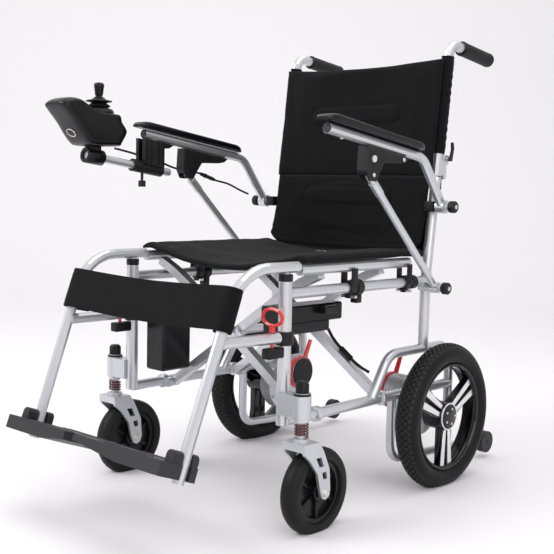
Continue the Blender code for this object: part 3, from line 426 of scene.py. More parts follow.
def frame_bolts():
    x = FRAME_X
    made = [bar((x - 0.018, y, TOP_Z - 0.0165), (x + 0.018, y, TOP_Z - 0.0165), 0.0030, sides=12, soft=0.0005)
            for y in (-0.0655, 0.118)]
    for p in (ARM_PIVOT, STRUT_FOOT):
        made.append(bar((0.2860, *p), (0.2895, *p), 0.0050, sides=6, soft=0.0006))
    for z in (0.300, 0.215):
        made.append(bar((x, POST_Y, z), (x + 0.0148, POST_Y, z), 0.0032, sides=6, soft=0.0005))
    for a in range(5):
        angle = 2 * math.pi * a / 5
        y, z = AXLE_Y + 0.040 * math.cos(angle), AXLE_Z + 0.040 * math.sin(angle)
        made.append(bar((x + 0.0035, y, z), (x + 0.0065, y, z), 0.0035, sides=6, soft=0.0005))
    return made


def castings(brace):
    """Forks on the lower tube that hold the feet of one cross brace, and their pins."""
    made = []
    planes = {"a": (-0.172, 0.064), "b": (-0.148, 0.040)}[brace]
    for leaf_y, toward in zip(planes, (1, -1) if brace == "a" else (-1, 1)):
        face = leaf_y + toward * 0.0094
        far = face + toward * 0.0106
        made.append(bar((FOOT_X, face, LOW_Z), (FOOT_X, far, LOW_Z), 0.0105, sides=28))
        made.append(block((FOOT_X, min(face, far) + 0.0004, LOW_Z - 0.0085),
                          (FRAME_X + 0.002, max(face, far) - 0.0004, LOW_Z + 0.0085), 0.0012))
        made.append(bar((FRAME_X, min(face, far) - 0.0006, LOW_Z),
                        (FRAME_X, max(face, far) + 0.0006, LOW_Z), 0.0150))
        made.append(bar((FOOT_X, face + toward * 0.004, LOW_Z),
                        (FOOT_X, leaf_y - toward * 0.012, LOW_Z), 0.0042, sides=16))
    return made


for hand, mirror, brace in (("left", False, "a"), ("right", True, "b")):
    build(f"{hand}_frame_tubes", f"{hand}_frame", "silver_paint", frame_tubes() + castings(brace),
          [f"{hand}_side_frame"], mirror)
    build(f"{hand}_frame_fittings", f"{hand}_frame", "black_plastic", frame_black(), (), mirror)
    build(f"{hand}_frame_bolts", f"{hand}_frame", "bolt_zinc", frame_bolts(), (), mirror)


# ---- drive wheels --------------------------------------------------------------------------
def tyre():
    """Carcass and its moulded block tread."""
    core = WHEEL_R - TYRE_R
    ring = [(core + (TYRE_R - 0.0022) * math.cos(a), -(TYRE_R * 1.08 - 0.001) * math.sin(a))
            for a in (2 * math.pi * k / 24 for k in range(24))]
    made = [lathe(ring, WHEEL_HUB, ALONG_X, 96)]
    count = 70
    lanes = ((-0.0185, 0.0, 0.0036), (-0.0110, 0.5, 0.0032), (-0.0036, 0.0, 0.0030),
             (0.0036, 0.5, 0.0030), (0.0110, 0.0, 0.0032), (0.0185, 0.5, 0.0036))
    for k in range(count):
        turn = Matrix.Translation(WHEEL_HUB) @ Matrix.Rotation(2 * math.pi * k / count, 4, "X")
        for lane, shift, wide in lanes:
            lean = math.asin(max(-1.0, min(1.0, lane / (TYRE_R * 1.08))))
            knob = block((-wide, -0.0044, -0.0030), (wide, 0.0044, 0.0010), 0.0007, 1)
            place = (turn @ Matrix.Rotation(2 * math.pi * shift / count, 4, "X")
                     @ Matrix.Translation((0, 0, core)) @ Matrix.Rotation(lean, 4, "Y")
                     @ Matrix.Translation((0, 0, TYRE_R - 0.0014)))
            made.append(moved_by(knob, place))
    return made


def rim_black():
    """Rim band, its lips, the hub and the bodies of the double spokes."""
    edge, half = 0.1112, 0.0180
    band = [(edge, half), (edge, -half), (edge - 0.004, -half), (edge - 0.0075, 0),
            (edge - 0.0055, half - 0.004), (edge - 0.002, half)]
    lips = [lathe([(0.1062, s * 0.0160), (0.1085, s * 0.0186), (0.1118, s * 0.0188), (0.1126, s * 0.0178),
                   (0.1100, s * 0.0168), (0.1062, s * 0.0140)], WHEEL_HUB, ALONG_X, 96)
            for s in (-1, 1)]
    made = [lathe(band, WHEEL_HUB, ALONG_X, 96), *lips,
            bar((0.236, AXLE_Y, AXLE_Z), (0.2840, AXLE_Y, AXLE_Z), 0.030, sides=48, soft=0.002)]
    for k in range(3):
        turn = Matrix.Translation(WHEEL_HUB) @ Matrix.Rotation(math.radians(120 * k + 60), 4, "X")
        for shift in (-0.0105, 0.0105):
            spoke = block((-0.006, shift - 0.0085, 0.020), (0.0112, shift + 0.0085, edge - 0.004), 0.002)
            made.append(moved_by(spoke, turn))
        web = block((-0.004, -0.008, 0.070), (0.006, 0.008, edge - 0.005), 0.002)
        made.append(moved_by(web, turn))
    return made


def rim_faces():
    """Machined faces of the double spokes and the hub ring."""
    made = [lathe([(0.0292, 0.0150), (0.0292, 0.0166), (0.0262, 0.0168), (0.0262, 0.0150)],
                  WHEEL_HUB, ALONG_X, 64)]
    for k in range(3):
        turn = Matrix.Translation(WHEEL_HUB) @ Matrix.Rotation(math.radians(120 * k + 60), 4, "X")
        for s in (-1, 1):
            face = bmesh.new()
            outline = [(s * 0.0034, 0.0295), (s * 0.0130, 0.0280),
                       (s * 0.0215, 0.1045), (s * 0.0070, 0.1060)]
            corners = [face.verts.new((0.0105, y, z)) for y, z in outline]
            made_face = face.faces.new(corners)
            out = bmesh.ops.extrude_face_region(face, geom=[made_face])
            bmesh.ops.translate(face, vec=(0.0016, 0, 0),
                                verts=[v for v in out["geom"] if isinstance(v, bmesh.types.BMVert)])
            bmesh.ops.bevel(face, geom=face.edges[:], offset=0.0005, segments=1, affect="EDGES")
            made.append(moved_by(face, turn))
    return made


def hub_cap():
    return [lathe([(0.0, 0.0195), (0.0200, 0.0190), (0.0245, 0.0172), (0.0258, 0.0150),
                   (0.0258, 0.0140), (0.0, 0.0140)], WHEEL_HUB, ALONG_X, 48)]


def hub_bolts():
    made = []
    for k in range(5):
        a = 2 * math.pi * k / 5
        y, z = AXLE_Y + 0.0165 * math.cos(a), AXLE_Z + 0.0165 * math.sin(a)
        made.append(bar((WHEEL_X + 0.0180, y, z), (WHEEL_X + 0.0208, y, z), 0.0028,
                        sides=6, soft=0.0005))
    return made


both("tread", "drive_wheel", "tyre_rubber", tyre, ["drive_tyre"], 30)
both("rim", "drive_wheel", "rim_black", rim_black, ["drive_rim"])
both("rim_faces", "drive_wheel", "machined", rim_faces)
both("hub_cap", "drive_wheel", "rim_black", hub_cap)
both("hub_bolts", "drive_wheel", "bolt_zinc", hub_bolts)


# ---- casters -------------------------------------------------------------------------------
def caster_tyre():
    edge, half = CASTER_R, 0.018
    profile = [(0.0575, half * 0.66), (0.0600, half * 0.92), (edge - 0.010, half * 0.98),
               (edge - 0.004, half * 0.80), (edge - 0.0006, half * 0.45), (edge, 0),
               (edge - 0.0006, -half * 0.45), (edge - 0.004, -half * 0.80),
               (edge - 0.010, -half * 0.98), (0.0600, -half * 0.92), (0.0575, -half * 0.66)]
    return [lathe(profile, CASTER_HUB, ALONG_X, 80)]


def caster_rim():
    """Bead ring, hub, web and six spokes of a caster wheel."""
    made = [lathe([(0.0574, 0.0112), (0.0574, -0.0112), (0.0500, -0.0112), (0.0470, 0), (0.0500, 0.0112)],
                  CASTER_HUB, ALONG_X, 64),
            lathe([(0.0175, 0.0165), (0.0190, 0.0140), (0.0190, -0.0140), (0.0175, -0.0165),
                   (0.0050, -0.0165), (0.0050, 0.0165)], CASTER_HUB, ALONG_X, 40),
            lathe([(0.0500, 0.0015), (0.0500, -0.0015), (0.0180, -0.0015), (0.0180, 0.0015)],
                  CASTER_HUB, ALONG_X, 48)]
    for k in range(6):
        turn = Matrix.Translation(CASTER_HUB) @ Matrix.Rotation(math.radians(60 * k), 4, "X")
        made.append(moved_by(block((-0.0075, -0.0038, 0.016), (0.0075, 0.0038, 0.0500), 0.0015), turn))
    return made


def coil():
    turns, low, high = 4.25, 0.1885, 0.2110
    points = []
    for k in range(int(turns * 28) + 1):
        angle = 2 * math.pi * k / 28
        points.append((STEM_X + 0.0116 * math.cos(angle), STEM_Y + 0.0116 * math.sin(angle),
                       low + (high - low) * angle / (2 * math.pi * turns)))
    return [sweep(points, 0.0017, sides=12)]


both("caster_tyre", "caster_wheel", "tyre_rubber", caster_tyre, ["caster_wheel"])
both("caster_rim", "caster_wheel", "black_satin", caster_rim)
both("coil", "suspension", "spring_red", coil, ["caster_spring"], 60)


def axle_nuts():
    made = []
    for s in (-1, 1):
        x = STEM_X + s * 0.0262
        made.append(bar((x, CASTER_Y, CASTER_R), (x + s * 0.0050, CASTER_Y, CASTER_R), 0.0072,
                        sides=6, soft=0.0006))
        made.append(bar((x - s * 0.0002, CASTER_Y, CASTER_R), (x + s * 0.0012, CASTER_Y, CASTER_R),
                        0.0092, soft=0.0003))
    return made


def stem_cap():
    return [lathe([(0.0, 0.2880), (0.0085, 0.2872), (0.0120, 0.2830), (0.0122, 0.2665),
                   (0.0156, 0.2660), (0.0156, 0.2618), (0.0, 0.2618)],
                  (STEM_X, STEM_Y, 0), ALONG_Z, 40)]


both("axle_nuts", "caster", "bolt_zinc", axle_nuts)
both("stem_cap", "frame", "black_plastic", stem_cap)


# ---- motors --------------------------------------------------------------------------------
def motor_cover():
    """Black cover on the inner end of the barrel."""
    return [bar((0.1226, AXLE_Y, MOTOR_Z), (0.1288, AXLE_Y, MOTOR_Z), 0.0348, sides=48, soft=0.002)]


def motor_ribs():
    """Cooling ribs round the barrel and the bolts of the gearbox."""
    made = []
    for k in range(5):
        x = 0.1430 + 0.0072 * k
        made.append(lathe([(0.0374, x - 0.0012), (0.0374, x + 0.0012), (0.0340, x + 0.0018),
                           (0.0340, x - 0.0018)], (0, AXLE_Y, MOTOR_Z), ALONG_X, 48))
    for k in range(6):
        a = 2 * math.pi * (k + 0.5) / 6
        y, z = AXLE_Y + 0.052 * math.cos(a), AXLE_Z + 0.052 * math.sin(a)
        made.append(bar((0.1752, y, z), (0.1795, y, z), 0.0034, sides=6, soft=0.0005))
    return made


both("motor_cover", "frame", "black_plastic", motor_cover)
both("motor_ribs", "frame", "cast_silver", motor_ribs)


# ---- soft parts ----------------------------------------------------------------------------
def lay(name, rows, columns, point, thick, finish_name):
    """A padded sheet: point(u, v) gives its middle surface and the way its front faces."""
    bm = bmesh.new()
    front, rear = [], []
    for i in range(rows + 1):
        top_row, low_row = [], []
        for j in range(columns + 1):
            u, v = j / columns, i / rows
            centre, facing, gain = point(u, v)
            border = min(u, 1 - u, v, 1 - v)
            round_off = min(1.0, max(0.0, border * 22)) ** 0.5
            half = facing * (thick / 2) * (0.30 + 0.70 * round_off)
            top_row.append(bm.verts.new(centre + half + facing * gain))
            low_row.append(bm.verts.new(centre - half))
        front.append(top_row)
        rear.append(low_row)
    for i in range(rows):
        for j in range(columns):
            bm.faces.new((front[i][j], front[i][j + 1], front[i + 1][j + 1], front[i + 1][j]))
            bm.faces.new((rear[i][j], rear[i + 1][j], rear[i + 1][j + 1], rear[i][j + 1]))
    ring_f = front[0][:-1] + [r[-1] for r in front[:-1]] + front[-1][:0:-1] + [r[0] for r in front[:0:-1]]
    ring_r = rear[0][:-1] + [r[-1] for r in rear[:-1]] + rear[-1][:0:-1] + [r[0] for r in rear[:0:-1]]
    for k in range(len(ring_f)):
        n = (k + 1) % len(ring_f)
        bm.faces.new((ring_f[k], ring_r[k], ring_r[n], ring_f[n]))
    return build(name, None, finish_name, [bm], (), False, 75)


def inflate(obj, pressure=2.0, cap=0.005, frames=14):
    """Cloth under a little air pressure, with how far each point may move held to cap."""
    start = [v.co.copy() for v in obj.data.vertices]
    rim = obj.vertex_groups.new(name="held")
    rim.add(sorted(HELD[obj.name]), 1.0, "REPLACE")
    for modifier in list(obj.modifiers):
        obj.modifiers.remove(modifier)
    cloth = obj.modifiers.new("cloth", "CLOTH")
    cloth.settings.use_pressure = True
    cloth.settings.uniform_pressure_force = pressure
    cloth.settings.vertex_group_mass = "held"
    cloth.settings.effector_weights.gravity = 0.0
    cloth.settings.quality = 5
    cloth.settings.tension_stiffness = 25
    cloth.settings.compression_stiffness = 25
    cloth.settings.bending_stiffness = 0.4
    cloth.point_cache.frame_start, cloth.point_cache.frame_end = 1, frames
    scene = bpy.context.scene
    for step in range(1, frames + 1):
        scene.frame_set(step)
    mesh = bpy.data.meshes.new_from_object(obj.evaluated_get(bpy.context.evaluated_depsgraph_get()))
    obj.modifiers.clear()
    for before, vertex in zip(start, mesh.vertices):
        shift = vertex.co - before
        if shift.length > cap:
            vertex.co = before + shift.normalized() * cap
    obj.data = mesh
    obj.vertex_groups.clear()
    scene.frame_set(1)
    for face in mesh.polygons:
        face.use_smooth = True


HELD = {}  # the points of each sheet that don't move in the simulation


def hold_edges(obj, low, high):
    """Points outside the box from low to high stay where they are laid."""
    HELD[obj.name] = {v.index for v in obj.data.vertices
                      if not all(a < here < b for a, here, b in zip(low, v.co, high))}


def wrinkle(x, y, z, scale, amount):
    """Smooth unevenness of slack cloth."""
    return amount * noise.noise(Vector((x * scale, y * scale, z * scale)))


def seat_point(u, v):
    """Sling seat: carried on the rails, sagging between them, most at the front."""
    x = -0.2265 + 0.453 * u
    y = -0.2135 + 0.384 * v
    slack = max(0.0, 1 - (x / 0.206) ** 2)
    sag = (0.031 - 0.009 * v) * slack ** 1.15
    z = 0.5015 - sag
    if abs(x) > 0.212:
        z -= (abs(x) - 0.212) ** 2 * 24
    y += 0.0035 * slack * (1 - v) ** 6
    z += wrinkle(x, y, 0.0, 14, 0.0022) + wrinkle(x * 0.4, y, 3.0, 42, 0.0010)
    seam = math.exp(-((v - 0.060) / 0.008) ** 2) + math.exp(-((abs(u - 0.5) - 0.440) / 0.005) ** 2)
    return Vector((x, y, z)), Vector((0, 0, 1)), -0.0026 * seam


def pill(x, z, middle, half_length, half_height):
    """Height of an embossed pill-shaped panel and the sewn line round it."""
    over = max(0.0, abs(x) - (half_length - half_height))
    d = math.hypot(over, z - middle) - half_height
    return 0.0034 * (0.5 - 0.5 * math.tanh(d / 0.0028)) - 0.0024 * math.exp(-((d - 0.003) / 0.0024) ** 2)


def back_upper_point(u, v):
    """Upper back: slung between the canes, dipping towards its middle."""
    z = 0.6604 + (0.9075 - 0.6604) * v
    x = -0.2175 + 0.435 * u
    dip = 0.013 * max(0.0, 1 - (x / 0.2175) ** 2) * math.sin(math.pi * min(1.0, 0.35 + v * 0.65)) ** 0.7
    y = cane_y(z) - 0.0215 + dip
    y += wrinkle(x, z, 1.0, 12, 0.0020) + wrinkle(x * 0.5, z, 5.0, 36, 0.0009)
    top_sag = 0.006 * max(0.0, 1 - (x / 0.2175) ** 2) * v ** 6
    gain = pill(x, z, 0.7950, 0.122, 0.0175)
    gain -= 0.0018 * math.exp(-((v - 0.962) / 0.006) ** 2)
    return Vector((x, y, z - top_sag)), Vector((0, -1, 0.1175)).normalized(), gain


def back_lower_point(u, v):
    """Lower back: it fills the corner above the seat, with rounded lower corners."""
    x = -0.2140 + 0.428 * u
    corner = max(0.0, (abs(x) - 0.170) / 0.044)
    bottom = 0.5015 - 0.006 * max(0.0, 1 - (x / 0.2) ** 2) + 0.020 * corner ** 3
    z = bottom + (0.6600 - bottom) * v
    belly = max(0.0, 1 - (x / 0.2140) ** 2)
    y = cane_y(z) - 0.0225 + 0.012 * belly * math.sin(math.pi * (0.25 + 0.55 * v))
    y -= 0.010 * (1 - v) ** 3
    y += wrinkle(x, z, 2.0, 15, 0.0022) + wrinkle(x * 0.4, z, 7.0, 40, 0.0010)
    gain = pill(x, z, 0.6130, 0.122, 0.0165) - 0.0022 * math.exp(-((v - 0.085) / 0.02) ** 2)
    return Vector((x, y, z)), Vector((0, -1, 0.1175)).normalized(), gain


def pouch_point(u, v):
    """Slack cloth behind the hips, hanging between the rear posts."""
    x = -0.2030 + 0.406 * u
    turn = math.radians(-62 + 205 * v)
    full = 0.90 + 0.10 * max(0.0, 1 - (x / 0.203) ** 2)
    if v < 0.45:
        t = v / 0.45
        y, z = 0.1960 + 0.047 * math.sin(t * 1.45), 0.6280 - 0.0900 * t - 0.012 * t * t
    else:
        t = (v - 0.45) / 0.55
        angle = t * math.radians(150)
        y = 0.2060 + 0.0370 * full * math.cos(angle)
        z = 0.5180 - 0.0330 * full * math.sin(angle)
    y += wrinkle(x, z, 4.0, 16, 0.0035) + wrinkle(x * 0.3, z * 1.4, 6.0, 46, 0.0016)
    facing = Vector((0, math.cos(turn - 1.0), math.sin(1.0 - turn)))
    return Vector((x, y, z)), facing.normalized(), 0.0


seat = lay("seat_cloth", 70, 82, seat_point, 0.0150, "black_fabric")
hold_edges(seat, (-0.20, -0.16, 0.40), (0.20, 0.19, 0.60))
upper = lay("back_cloth_upper", 60, 92, back_upper_point, 0.0125, "black_fabric")
hold_edges(upper, (-0.19, -1.0, 0.675), (0.19, 1.0, 0.915))
lower = lay("back_cloth_lower", 40, 92, back_lower_point, 0.0125, "black_fabric")
pouch = lay("back_pouch", 40, 60, pouch_point, 0.0035, "black_fabric")
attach(pouch, "left_frame")
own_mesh(pouch)
hold_edges(lower, (-0.19, -1.0, 0.530), (0.19, 1.0, 0.648))
for pad in (seat, upper, lower):
    inflate(pad)
for pad, body, cad, anchor, fill in ((seat, "seat", "seat_sling", -FRAME_X, 0.35),
                                     (upper, "left_back", "back_upper", FRAME_X, 0.4),
                                     (lower, "left_frame", "back_lower", FRAME_X, 0.4)):
    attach(pad, body)
    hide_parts(cad)
    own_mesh(pad)


def sleeve():
    """Cloth sleeve of the back, gathered round each cane."""
    points, radii = [], []
    for k in range(44):
        z = 0.708 + 0.206 * k / 43
        points.append((FRAME_X, cane_y(z), z))
        fold = 0.0005 * math.sin(k * 1.9) + 0.0004 * math.sin(k * 4.7)
        end = min(k, 43 - k)
        radii.append((0.0128 if end > 1 else 0.0122) + 0.0012 + fold)
    return [sweep(points, radii, sides=26)]


for piece in both("cane_sleeve", "back", "black_fabric", sleeve, (), 60):
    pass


def leg_point(along):
    """A point on the axis of the leg tube, at a distance up from its foot."""
    return LEG_FOOT + Vector((0, math.sin(LEG_TILT), math.cos(LEG_TILT))) * along


def calf_band():
    """Half of the calf strap: in front of the leg tube, round it, and back behind it."""
    ahead = Vector((0, -math.cos(LEG_TILT), math.sin(LEG_TILT)))
    path = [(0.2110 * k / 20, 0.0150 - 0.0075 * math.cos(math.pi / 2 * k / 20)) for k in range(21)]
    path += [(0.2130 + 0.0148 * math.sin(a), 0.0148 * math.cos(a))
             for a in (math.pi * (k + 1) / 10 for k in range(10))]
    path += [(0.2130 - 0.006 * k, -0.0146) for k in range(1, 7)]
    low, high = [(z - LEG_FOOT.z) / math.cos(LEG_TILT) for z in (0.383, 0.456)]
    rows = 22
    bm = bmesh.new()
    shells = []
    for side_of in (0.0022, -0.0022):
        grid = []
        for i in range(rows + 1):
            v = i / rows
            row = []
            for k, (x, n) in enumerate(path):
                before, after = path[max(k - 1, 0)], path[min(k + 1, len(path) - 1)]
                run = Vector((after[0] - before[0], after[1] - before[1])).normalized()
                out = Vector((-run.y, run.x))
                edge = min(v, 1 - v)
                swell = (1.0 if edge > 0.02 else 0.5) - 0.35 * math.exp(-((edge - 0.085) / 0.02) ** 2)
                ripple = wrinkle(x, v * 0.07, 9.0, 30, 0.0011) if x < 0.20 else 0.0
                droop = -0.0045 * math.cos(math.pi / 2 * min(1.0, x / 0.2)) if k < 21 else 0.0
                offset = side_of * swell + ripple
                spot = leg_point(low + (high - low) * v + droop) + ahead * (n + out.y * offset)
                row.append(bm.verts.new((x + out.x * offset, spot.y, spot.z)))
            grid.append(row)
        shells.append(grid)
    front, rear = shells
    last = len(path) - 1
    for i in range(rows):
        for j in range(last):
            bm.faces.new((front[i][j], front[i][j + 1], front[i + 1][j + 1], front[i + 1][j]))
            bm.faces.new((rear[i][j], rear[i + 1][j], rear[i + 1][j + 1], rear[i][j + 1]))
        for j in (0, last):
            bm.faces.new((front[i][j], front[i + 1][j], rear[i + 1][j], rear[i][j]))
    for j in range(last):
        for i in (0, rows):
            bm.faces.new((front[i][j], rear[i][j], rear[i][j + 1], front[i][j + 1]))
    return [bm]


for hand, mirror, anchor in (("left", False, FRAME_X), ("right", True, -FRAME_X)):
    strap = build(f"{hand}_calf_band", None, "strap_webbing", calf_band(), (), mirror, 70)
    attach(strap, f"{hand}_legrest")
    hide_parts(f"{hand}_calf_strap")
    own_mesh(strap)


# ---- armrests, handles, joystick --------------------------------------------------------------
def pad_cover():
    """Moulded pad with a crowned top, rolled ends and a lip over the tube."""
    front, rear, x0 = -0.2080, 0.0950, 0.2560
    bm = bmesh.new()
    rows = []
    count = 40
    for k in range(count + 1):
        t = k / count
        y = front + (rear - front) * t
        end = min(t, 1 - t) * (rear - front)
        pinch = min(1.0, (end / 0.020)) ** 0.45 if end > 0 else 0.0
        half = 0.0222 * (0.62 + 0.38 * pinch)
        top = 0.0262 * (0.66 + 0.34 * pinch)
        ring = []
        for a in range(28):
            angle = 2 * math.pi * a / 28
            c, s = math.cos(angle), math.sin(angle)
            px = half * abs(c) ** 0.45 * (1 if c > 0 else -1)
            lift = 0.0112 + (top - 0.0112) * (0.5 + 0.5 * abs(s) ** 0.55 * (1 if s > 0 else -1))
            ring.append(bm.verts.new((x0 + px, y, arm_line(y) + lift)))
        rows.append(ring)
    bridge(bm, rows)
    return [bm]


for piece in both("pad_cover", "armrest", "black_satin", pad_cover, ["armrest_pad"], 50):
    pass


def grip():
    """Ribbed push handle grip."""
    start, end = Vector((FRAME_X, 0.3020, 0.93729)), Vector((FRAME_X, 0.4180, 0.9237))
    length = (end - start).length
    profile = [(0.0, length), (0.0110, length), (0.0150, length - 0.002), (0.0159, length - 0.006)]
    for k in range(16):
        along = length - 0.010 - k * (length - 0.020) / 15
        profile += [(0.0153, along), (0.0146, along - 0.0012), (0.0146, along - 0.0036),
                    (0.0153, along - 0.0048)]
    profile += [(0.0159, 0.0045), (0.0159, 0.0010), (0.0150, 0.0004), (0.0090, 0.0004),
                (0.0090, length - 0.0065), (0.0, length - 0.0065)]
    return [lathe(profile, start, end - start, 40)]


both("grip", "back", "grip_rubber", grip, ["push_handle"], 35)


def bellows():
    profile = [(0.0, 0.8060), (0.0062, 0.8062), (0.0088, 0.8045), (0.0150, 0.7995),
               (0.0262, 0.7972), (0.0271, 0.7960), (0.0262, 0.7948), (0.0148, 0.7925),
               (0.0228, 0.7872), (0.0236, 0.7862), (0.0228, 0.7852), (0.0178, 0.7830),
               (0.0278, 0.7795), (0.0286, 0.7785), (0.0286, 0.7752), (0.0, 0.7752)]
    return [lathe(profile, STICK, ALONG_Z, 48)]


def knob():
    profile = [(0.0, 0.8338), (0.0050, 0.8336), (0.0085, 0.8325), (0.0104, 0.8300),
               (0.0105, 0.8262), (0.0098, 0.8225), (0.0088, 0.8150), (0.0084, 0.8095),
               (0.0072, 0.8066), (0.0, 0.8066)]
    return [lathe(profile, STICK, ALONG_Z, 36)]


def case_shell():
    """Rounded controller housing, an outline shrunk towards both cheeks, with its clamp and neck."""
    outline = [(-0.4220, 0.7820), (-0.4130, 0.7920), (-0.3970, 0.7970), (-0.3800, 0.7950),
               (-0.3390, 0.7740), (-0.2800, 0.7700), (-0.2730, 0.7550), (-0.2590, 0.7350),
               (-0.2740, 0.7090), (-0.2800, 0.7050), (-0.3550, 0.7050), (-0.3940, 0.7510)]
    dense = []
    for k in range(len(outline)):
        a, b, c, d = [Vector(outline[(k + j) % len(outline)]) for j in (-1, 0, 1, 2)]
        for j in range(6):
            t = j / 6
            dense.append(spline(a, b, c, d, t) * 0.55 + (b + (c - b) * t) * 0.45)
    bm = bmesh.new()
    rings = []
    count = 24
    for k in range(count + 1):
        across_x = -1 + 2 * k / count
        share = 0.70 + 0.30 * (1 - abs(across_x) ** 3.2) ** 0.62
        rings.append([bm.verts.new((STICK[0] + 0.038 * math.sin(across_x * math.pi / 2),
                                    -0.3350 + (p.x + 0.3350) * share, 0.7520 + (p.y - 0.7520) * share))
                      for p in dense])
    bridge(bm, rings)
    lower_clamp = lathe([(0.0094, 0.0), (0.0150, 0.0), (0.0160, 0.0012), (0.0160, 0.0420),
                         (0.0150, 0.0432), (0.0094, 0.0432)],
                        (STICK[0], -0.3450, 0.6865), (0, 0.0430, -0.00576), 40)
    neck = block((-0.2640, -0.3380, 0.6900), (-0.2440, -0.3100, 0.7080), 0.002)
    return [bm, lower_clamp, neck]


def bellows_ring():
    return [lathe([(0.0305, 0.7722), (0.0305, 0.7755), (0.0290, 0.7768), (0.0270, 0.7768),
                   (0.0270, 0.7722)], STICK, ALONG_Z, 48)]


build("controller_case", "controller", "black_satin", case_shell(), ["joystick_case"], angle=50)
build("bellows_ring", "controller", "black_plastic", bellows_ring())


def tube_plugs():
    """Plug in the front end of the armrest tube."""
    end, after = Vector((ARM_X, -0.192, 0.737)), Vector((ARM_X, 0.111, 0.695))
    run = (end - after).normalized()
    return [bar(end - run * 0.003, end + run * 0.0014, 0.0092, sides=28, soft=0.0008)]


def pad_screws():
    """Screws up through the armrest tube into the pad."""
    made = []
    for y in (-0.150, 0.035):
        z = arm_line(y)
        made.append(bar((ARM_X, y, z - 0.0122), (ARM_X, y, z - 0.0096), 0.0034, sides=12, soft=0.0006))
    return made


def latch_bolts():
    """Rivets on the outer face of the armrest latch."""
    return [bar((0.2662, y, z), (0.2688, y, z), 0.0042, sides=16, soft=0.0008)
            for y, z in ((-0.0665, 0.6560), (0.0290, 0.6880))]


both("tube_plug", "armrest", "grey_plastic", tube_plugs)
both("pad_screws", "armrest", "bolt_zinc", pad_screws)
both("latch_rivets", "armrest", "bolt_zinc", latch_bolts)


def mount_ribs():
    """Vertical ribs on both cheeks of the controller bracket."""
    made = []
    for s in (-1, 1):
        for y in (-0.1950, -0.1830, -0.1620, -0.1500):
            x = -ARM_X + s * 0.0152
            made.append(block((x - 0.0010, y - 0.0022, 0.672),
                              (x + 0.0010, y + 0.0022, arm_line(y) - 0.0125), 0.0006, 2))
    return made


build("mount_ribs", "right_armrest", "black_satin", mount_ribs())
build("stick_bellows", "stick_gimbal", "grip_rubber", bellows(), ["joystick_boot"])
build("stick_knob", "stick", "black_satin", knob(), ["joystick_knob"])


def panel_ring():
    """Oval ring on the lower front face of the controller."""
    run = Vector((0, -0.0390, 0.0459)).normalized()
    out = Vector((0, -0.0459, -0.0390)).normalized()
    centre = Vector((STICK[0], -0.3775, 0.7290)) + out * 0.0010
    return [sweep([centre + run * (0.009 * math.sin(a)) + Vector((0.012 * math.cos(a), 0, 0))
                   for a in (2 * math.pi * k / 24 for k in range(24))], 0.0011, sides=8, closed=True)]


build("panel_trim", "controller", "bolt_zinc", panel_ring())


def plate_grips():
    """Raised ribs on each footplate."""
    up = Vector((0, math.sin(LEG_TILT), math.cos(LEG_TILT)))
    ahead = Vector((0, -math.cos(LEG_TILT), math.sin(LEG_TILT)))
    pin = leg_point(0.0435)
    place = Matrix(((1, 0, 0, 0), (0, ahead.y, up.y, pin.y), (0, ahead.z, up.z, pin.z), (0, 0, 0, 1)))
    made = []
    for u in (-0.045, -0.030, 0.030, 0.045):
        rib = block((0.055, u - 0.0022, -0.0120), (0.165, u + 0.0022, -0.0102), 0.0007, 2)
        made.append(moved_by(rib, place))
    return made


both("plate_ribs", "footplate", "grey_plastic", plate_grips)


def stick_lead():
    """Lead from the controller to just short of the armrest pivot, with its in-line connector."""
    route = [(-0.2700, -0.2560, 0.7030), (-0.2720, -0.2400, 0.7010), (-0.2725, -0.1950, 0.6930),
             (-0.2725, -0.1300, 0.6790), (-0.2725, -0.0900, 0.6680), (-0.2725, -0.0500, 0.6610),
             (-0.2725, -0.0090, 0.6570), (-0.2725, 0.0390, 0.6430), (-0.2725, 0.0820, 0.6350),
             (-0.2725, 0.1220, 0.6210), (-0.2720, 0.1500, 0.6120)]
    points = [Vector(p) for p in route]
    fine = []
    for k in range(len(points) - 1):
        a, b, c, d = points[max(k - 1, 0)], points[k], points[k + 1], points[min(k + 2, len(points) - 1)]
        fine += [spline(a, b, c, d, j / 8) for j in range(8)]
    fine.append(points[-1])
    start, end = points[6], points[7]
    run = (end - start).normalized()
    span = (end - start).length
    return [sweep(fine, 0.0023, sides=14),
            sweep([start + run * span * t for t in (0, 0.08, 0.3, 0.32, 0.38, 0.40, 0.7, 0.92, 1.0)],
                  [0.0026, 0.0040, 0.0046, 0.0053, 0.0053, 0.0046, 0.0046, 0.0040, 0.0026], sides=18)]


build("stick_lead", "right_armrest", "cable_rubber", stick_lead(), ["joystick_cable"])


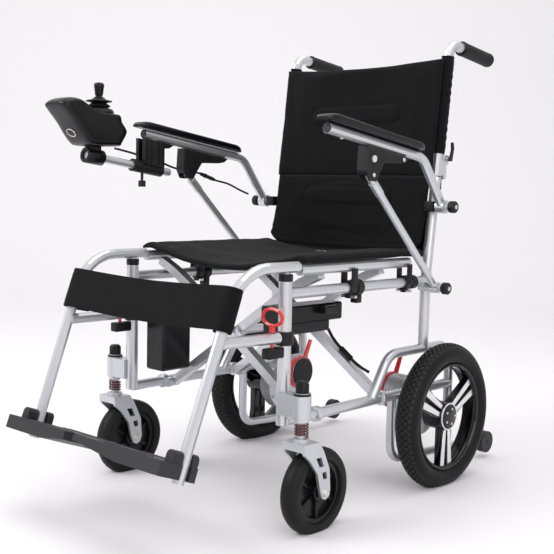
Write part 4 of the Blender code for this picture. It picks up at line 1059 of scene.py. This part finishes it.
# ---- stage: a paper sweep with its wall across the view, three lights and the camera ---------
YAW, PITCH, ROLL = 0.7391, -0.0907, 0.0222
PHOTO_WIDTH, FOCAL_PIXELS, SENSOR_MM = 554, 981.07, 36.0
floor_mesh = bpy.data.meshes.new("floor")
sweep_bm = bmesh.new()
profile = [(-6.0, 0.0), (2.2, 0.0), (2.9, 0.10), (3.4, 0.45), (3.65, 1.0), (3.7, 6.0)]
turn_back = Matrix.Rotation(0.739, 3, "Z")
rows = [[sweep_bm.verts.new(turn_back @ Vector((x, y, z))) for x in (-8, 8)] for y, z in profile]
for low, high in zip(rows, rows[1:]):
    sweep_bm.faces.new((low[0], low[1], high[1], high[0]))
sweep_bm.to_mesh(floor_mesh)
sweep_bm.free()
floor = bpy.data.objects.new("floor", floor_mesh)
bpy.context.scene.collection.objects.link(floor)
bend = floor.modifiers.new("bend", "SUBSURF")
bend.levels = bend.render_levels = 3
for face in floor_mesh.polygons:
    face.use_smooth = True
floor_mesh.materials.append(material("studio_paper", (0.80, 0.79, 0.81), 0.75, 0, 300, 0.01, 0.01, edge=0))

world = bpy.data.worlds.new("studio")
bpy.context.scene.world = world
world.use_nodes = True
world.node_tree.nodes["Background"].inputs["Color"].default_value = (1.0, 0.985, 0.985, 1.0)
world.node_tree.nodes["Background"].inputs["Strength"].default_value = 0.80


def softbox(name, place, target, size, power):
    light = bpy.data.lights.new(name, "AREA")
    light.shape = "RECTANGLE"
    light.size, light.size_y = size
    light.energy = power
    lamp = bpy.data.objects.new(name, light)
    lamp.location = place
    lamp.rotation_euler = (Vector(target) - Vector(place)).to_track_quat("-Z", "Y").to_euler()
    bpy.context.scene.collection.objects.link(lamp)


softbox("key", (-1.6, -2.6, 2.6), (0, 0, 0.5), (2.0, 2.0), 72)
softbox("fill", (2.8, -1.2, 1.7), (0, 0, 0.45), (2.0, 2.2), 30)
softbox("top", (0.2, 0.4, 3.2), (0, 0, 0.4), (2.6, 2.6), 38)

forward = Vector((-math.sin(YAW) * math.cos(PITCH), math.cos(YAW) * math.cos(PITCH), math.sin(PITCH)))
right = Vector((math.cos(YAW), math.sin(YAW), 0))
above = right.cross(forward)
across = right * math.cos(ROLL) + above * math.sin(ROLL)
upward = above * math.cos(ROLL) - right * math.sin(ROLL)
lens = bpy.data.cameras.new("camera")
lens.sensor_width = SENSOR_MM
lens.lens = FOCAL_PIXELS / PHOTO_WIDTH * SENSOR_MM
camera = bpy.data.objects.new("camera", lens)
turned = Matrix((across, upward, -forward)).transposed().to_4x4()
camera.matrix_world = Matrix.Translation((1.3846, -1.5569 + DATUM_Y, 0.6283)) @ turned
bpy.context.scene.collection.objects.link(camera)
bpy.context.scene.camera = camera
bpy.context.scene.view_settings.view_transform = "Standard"
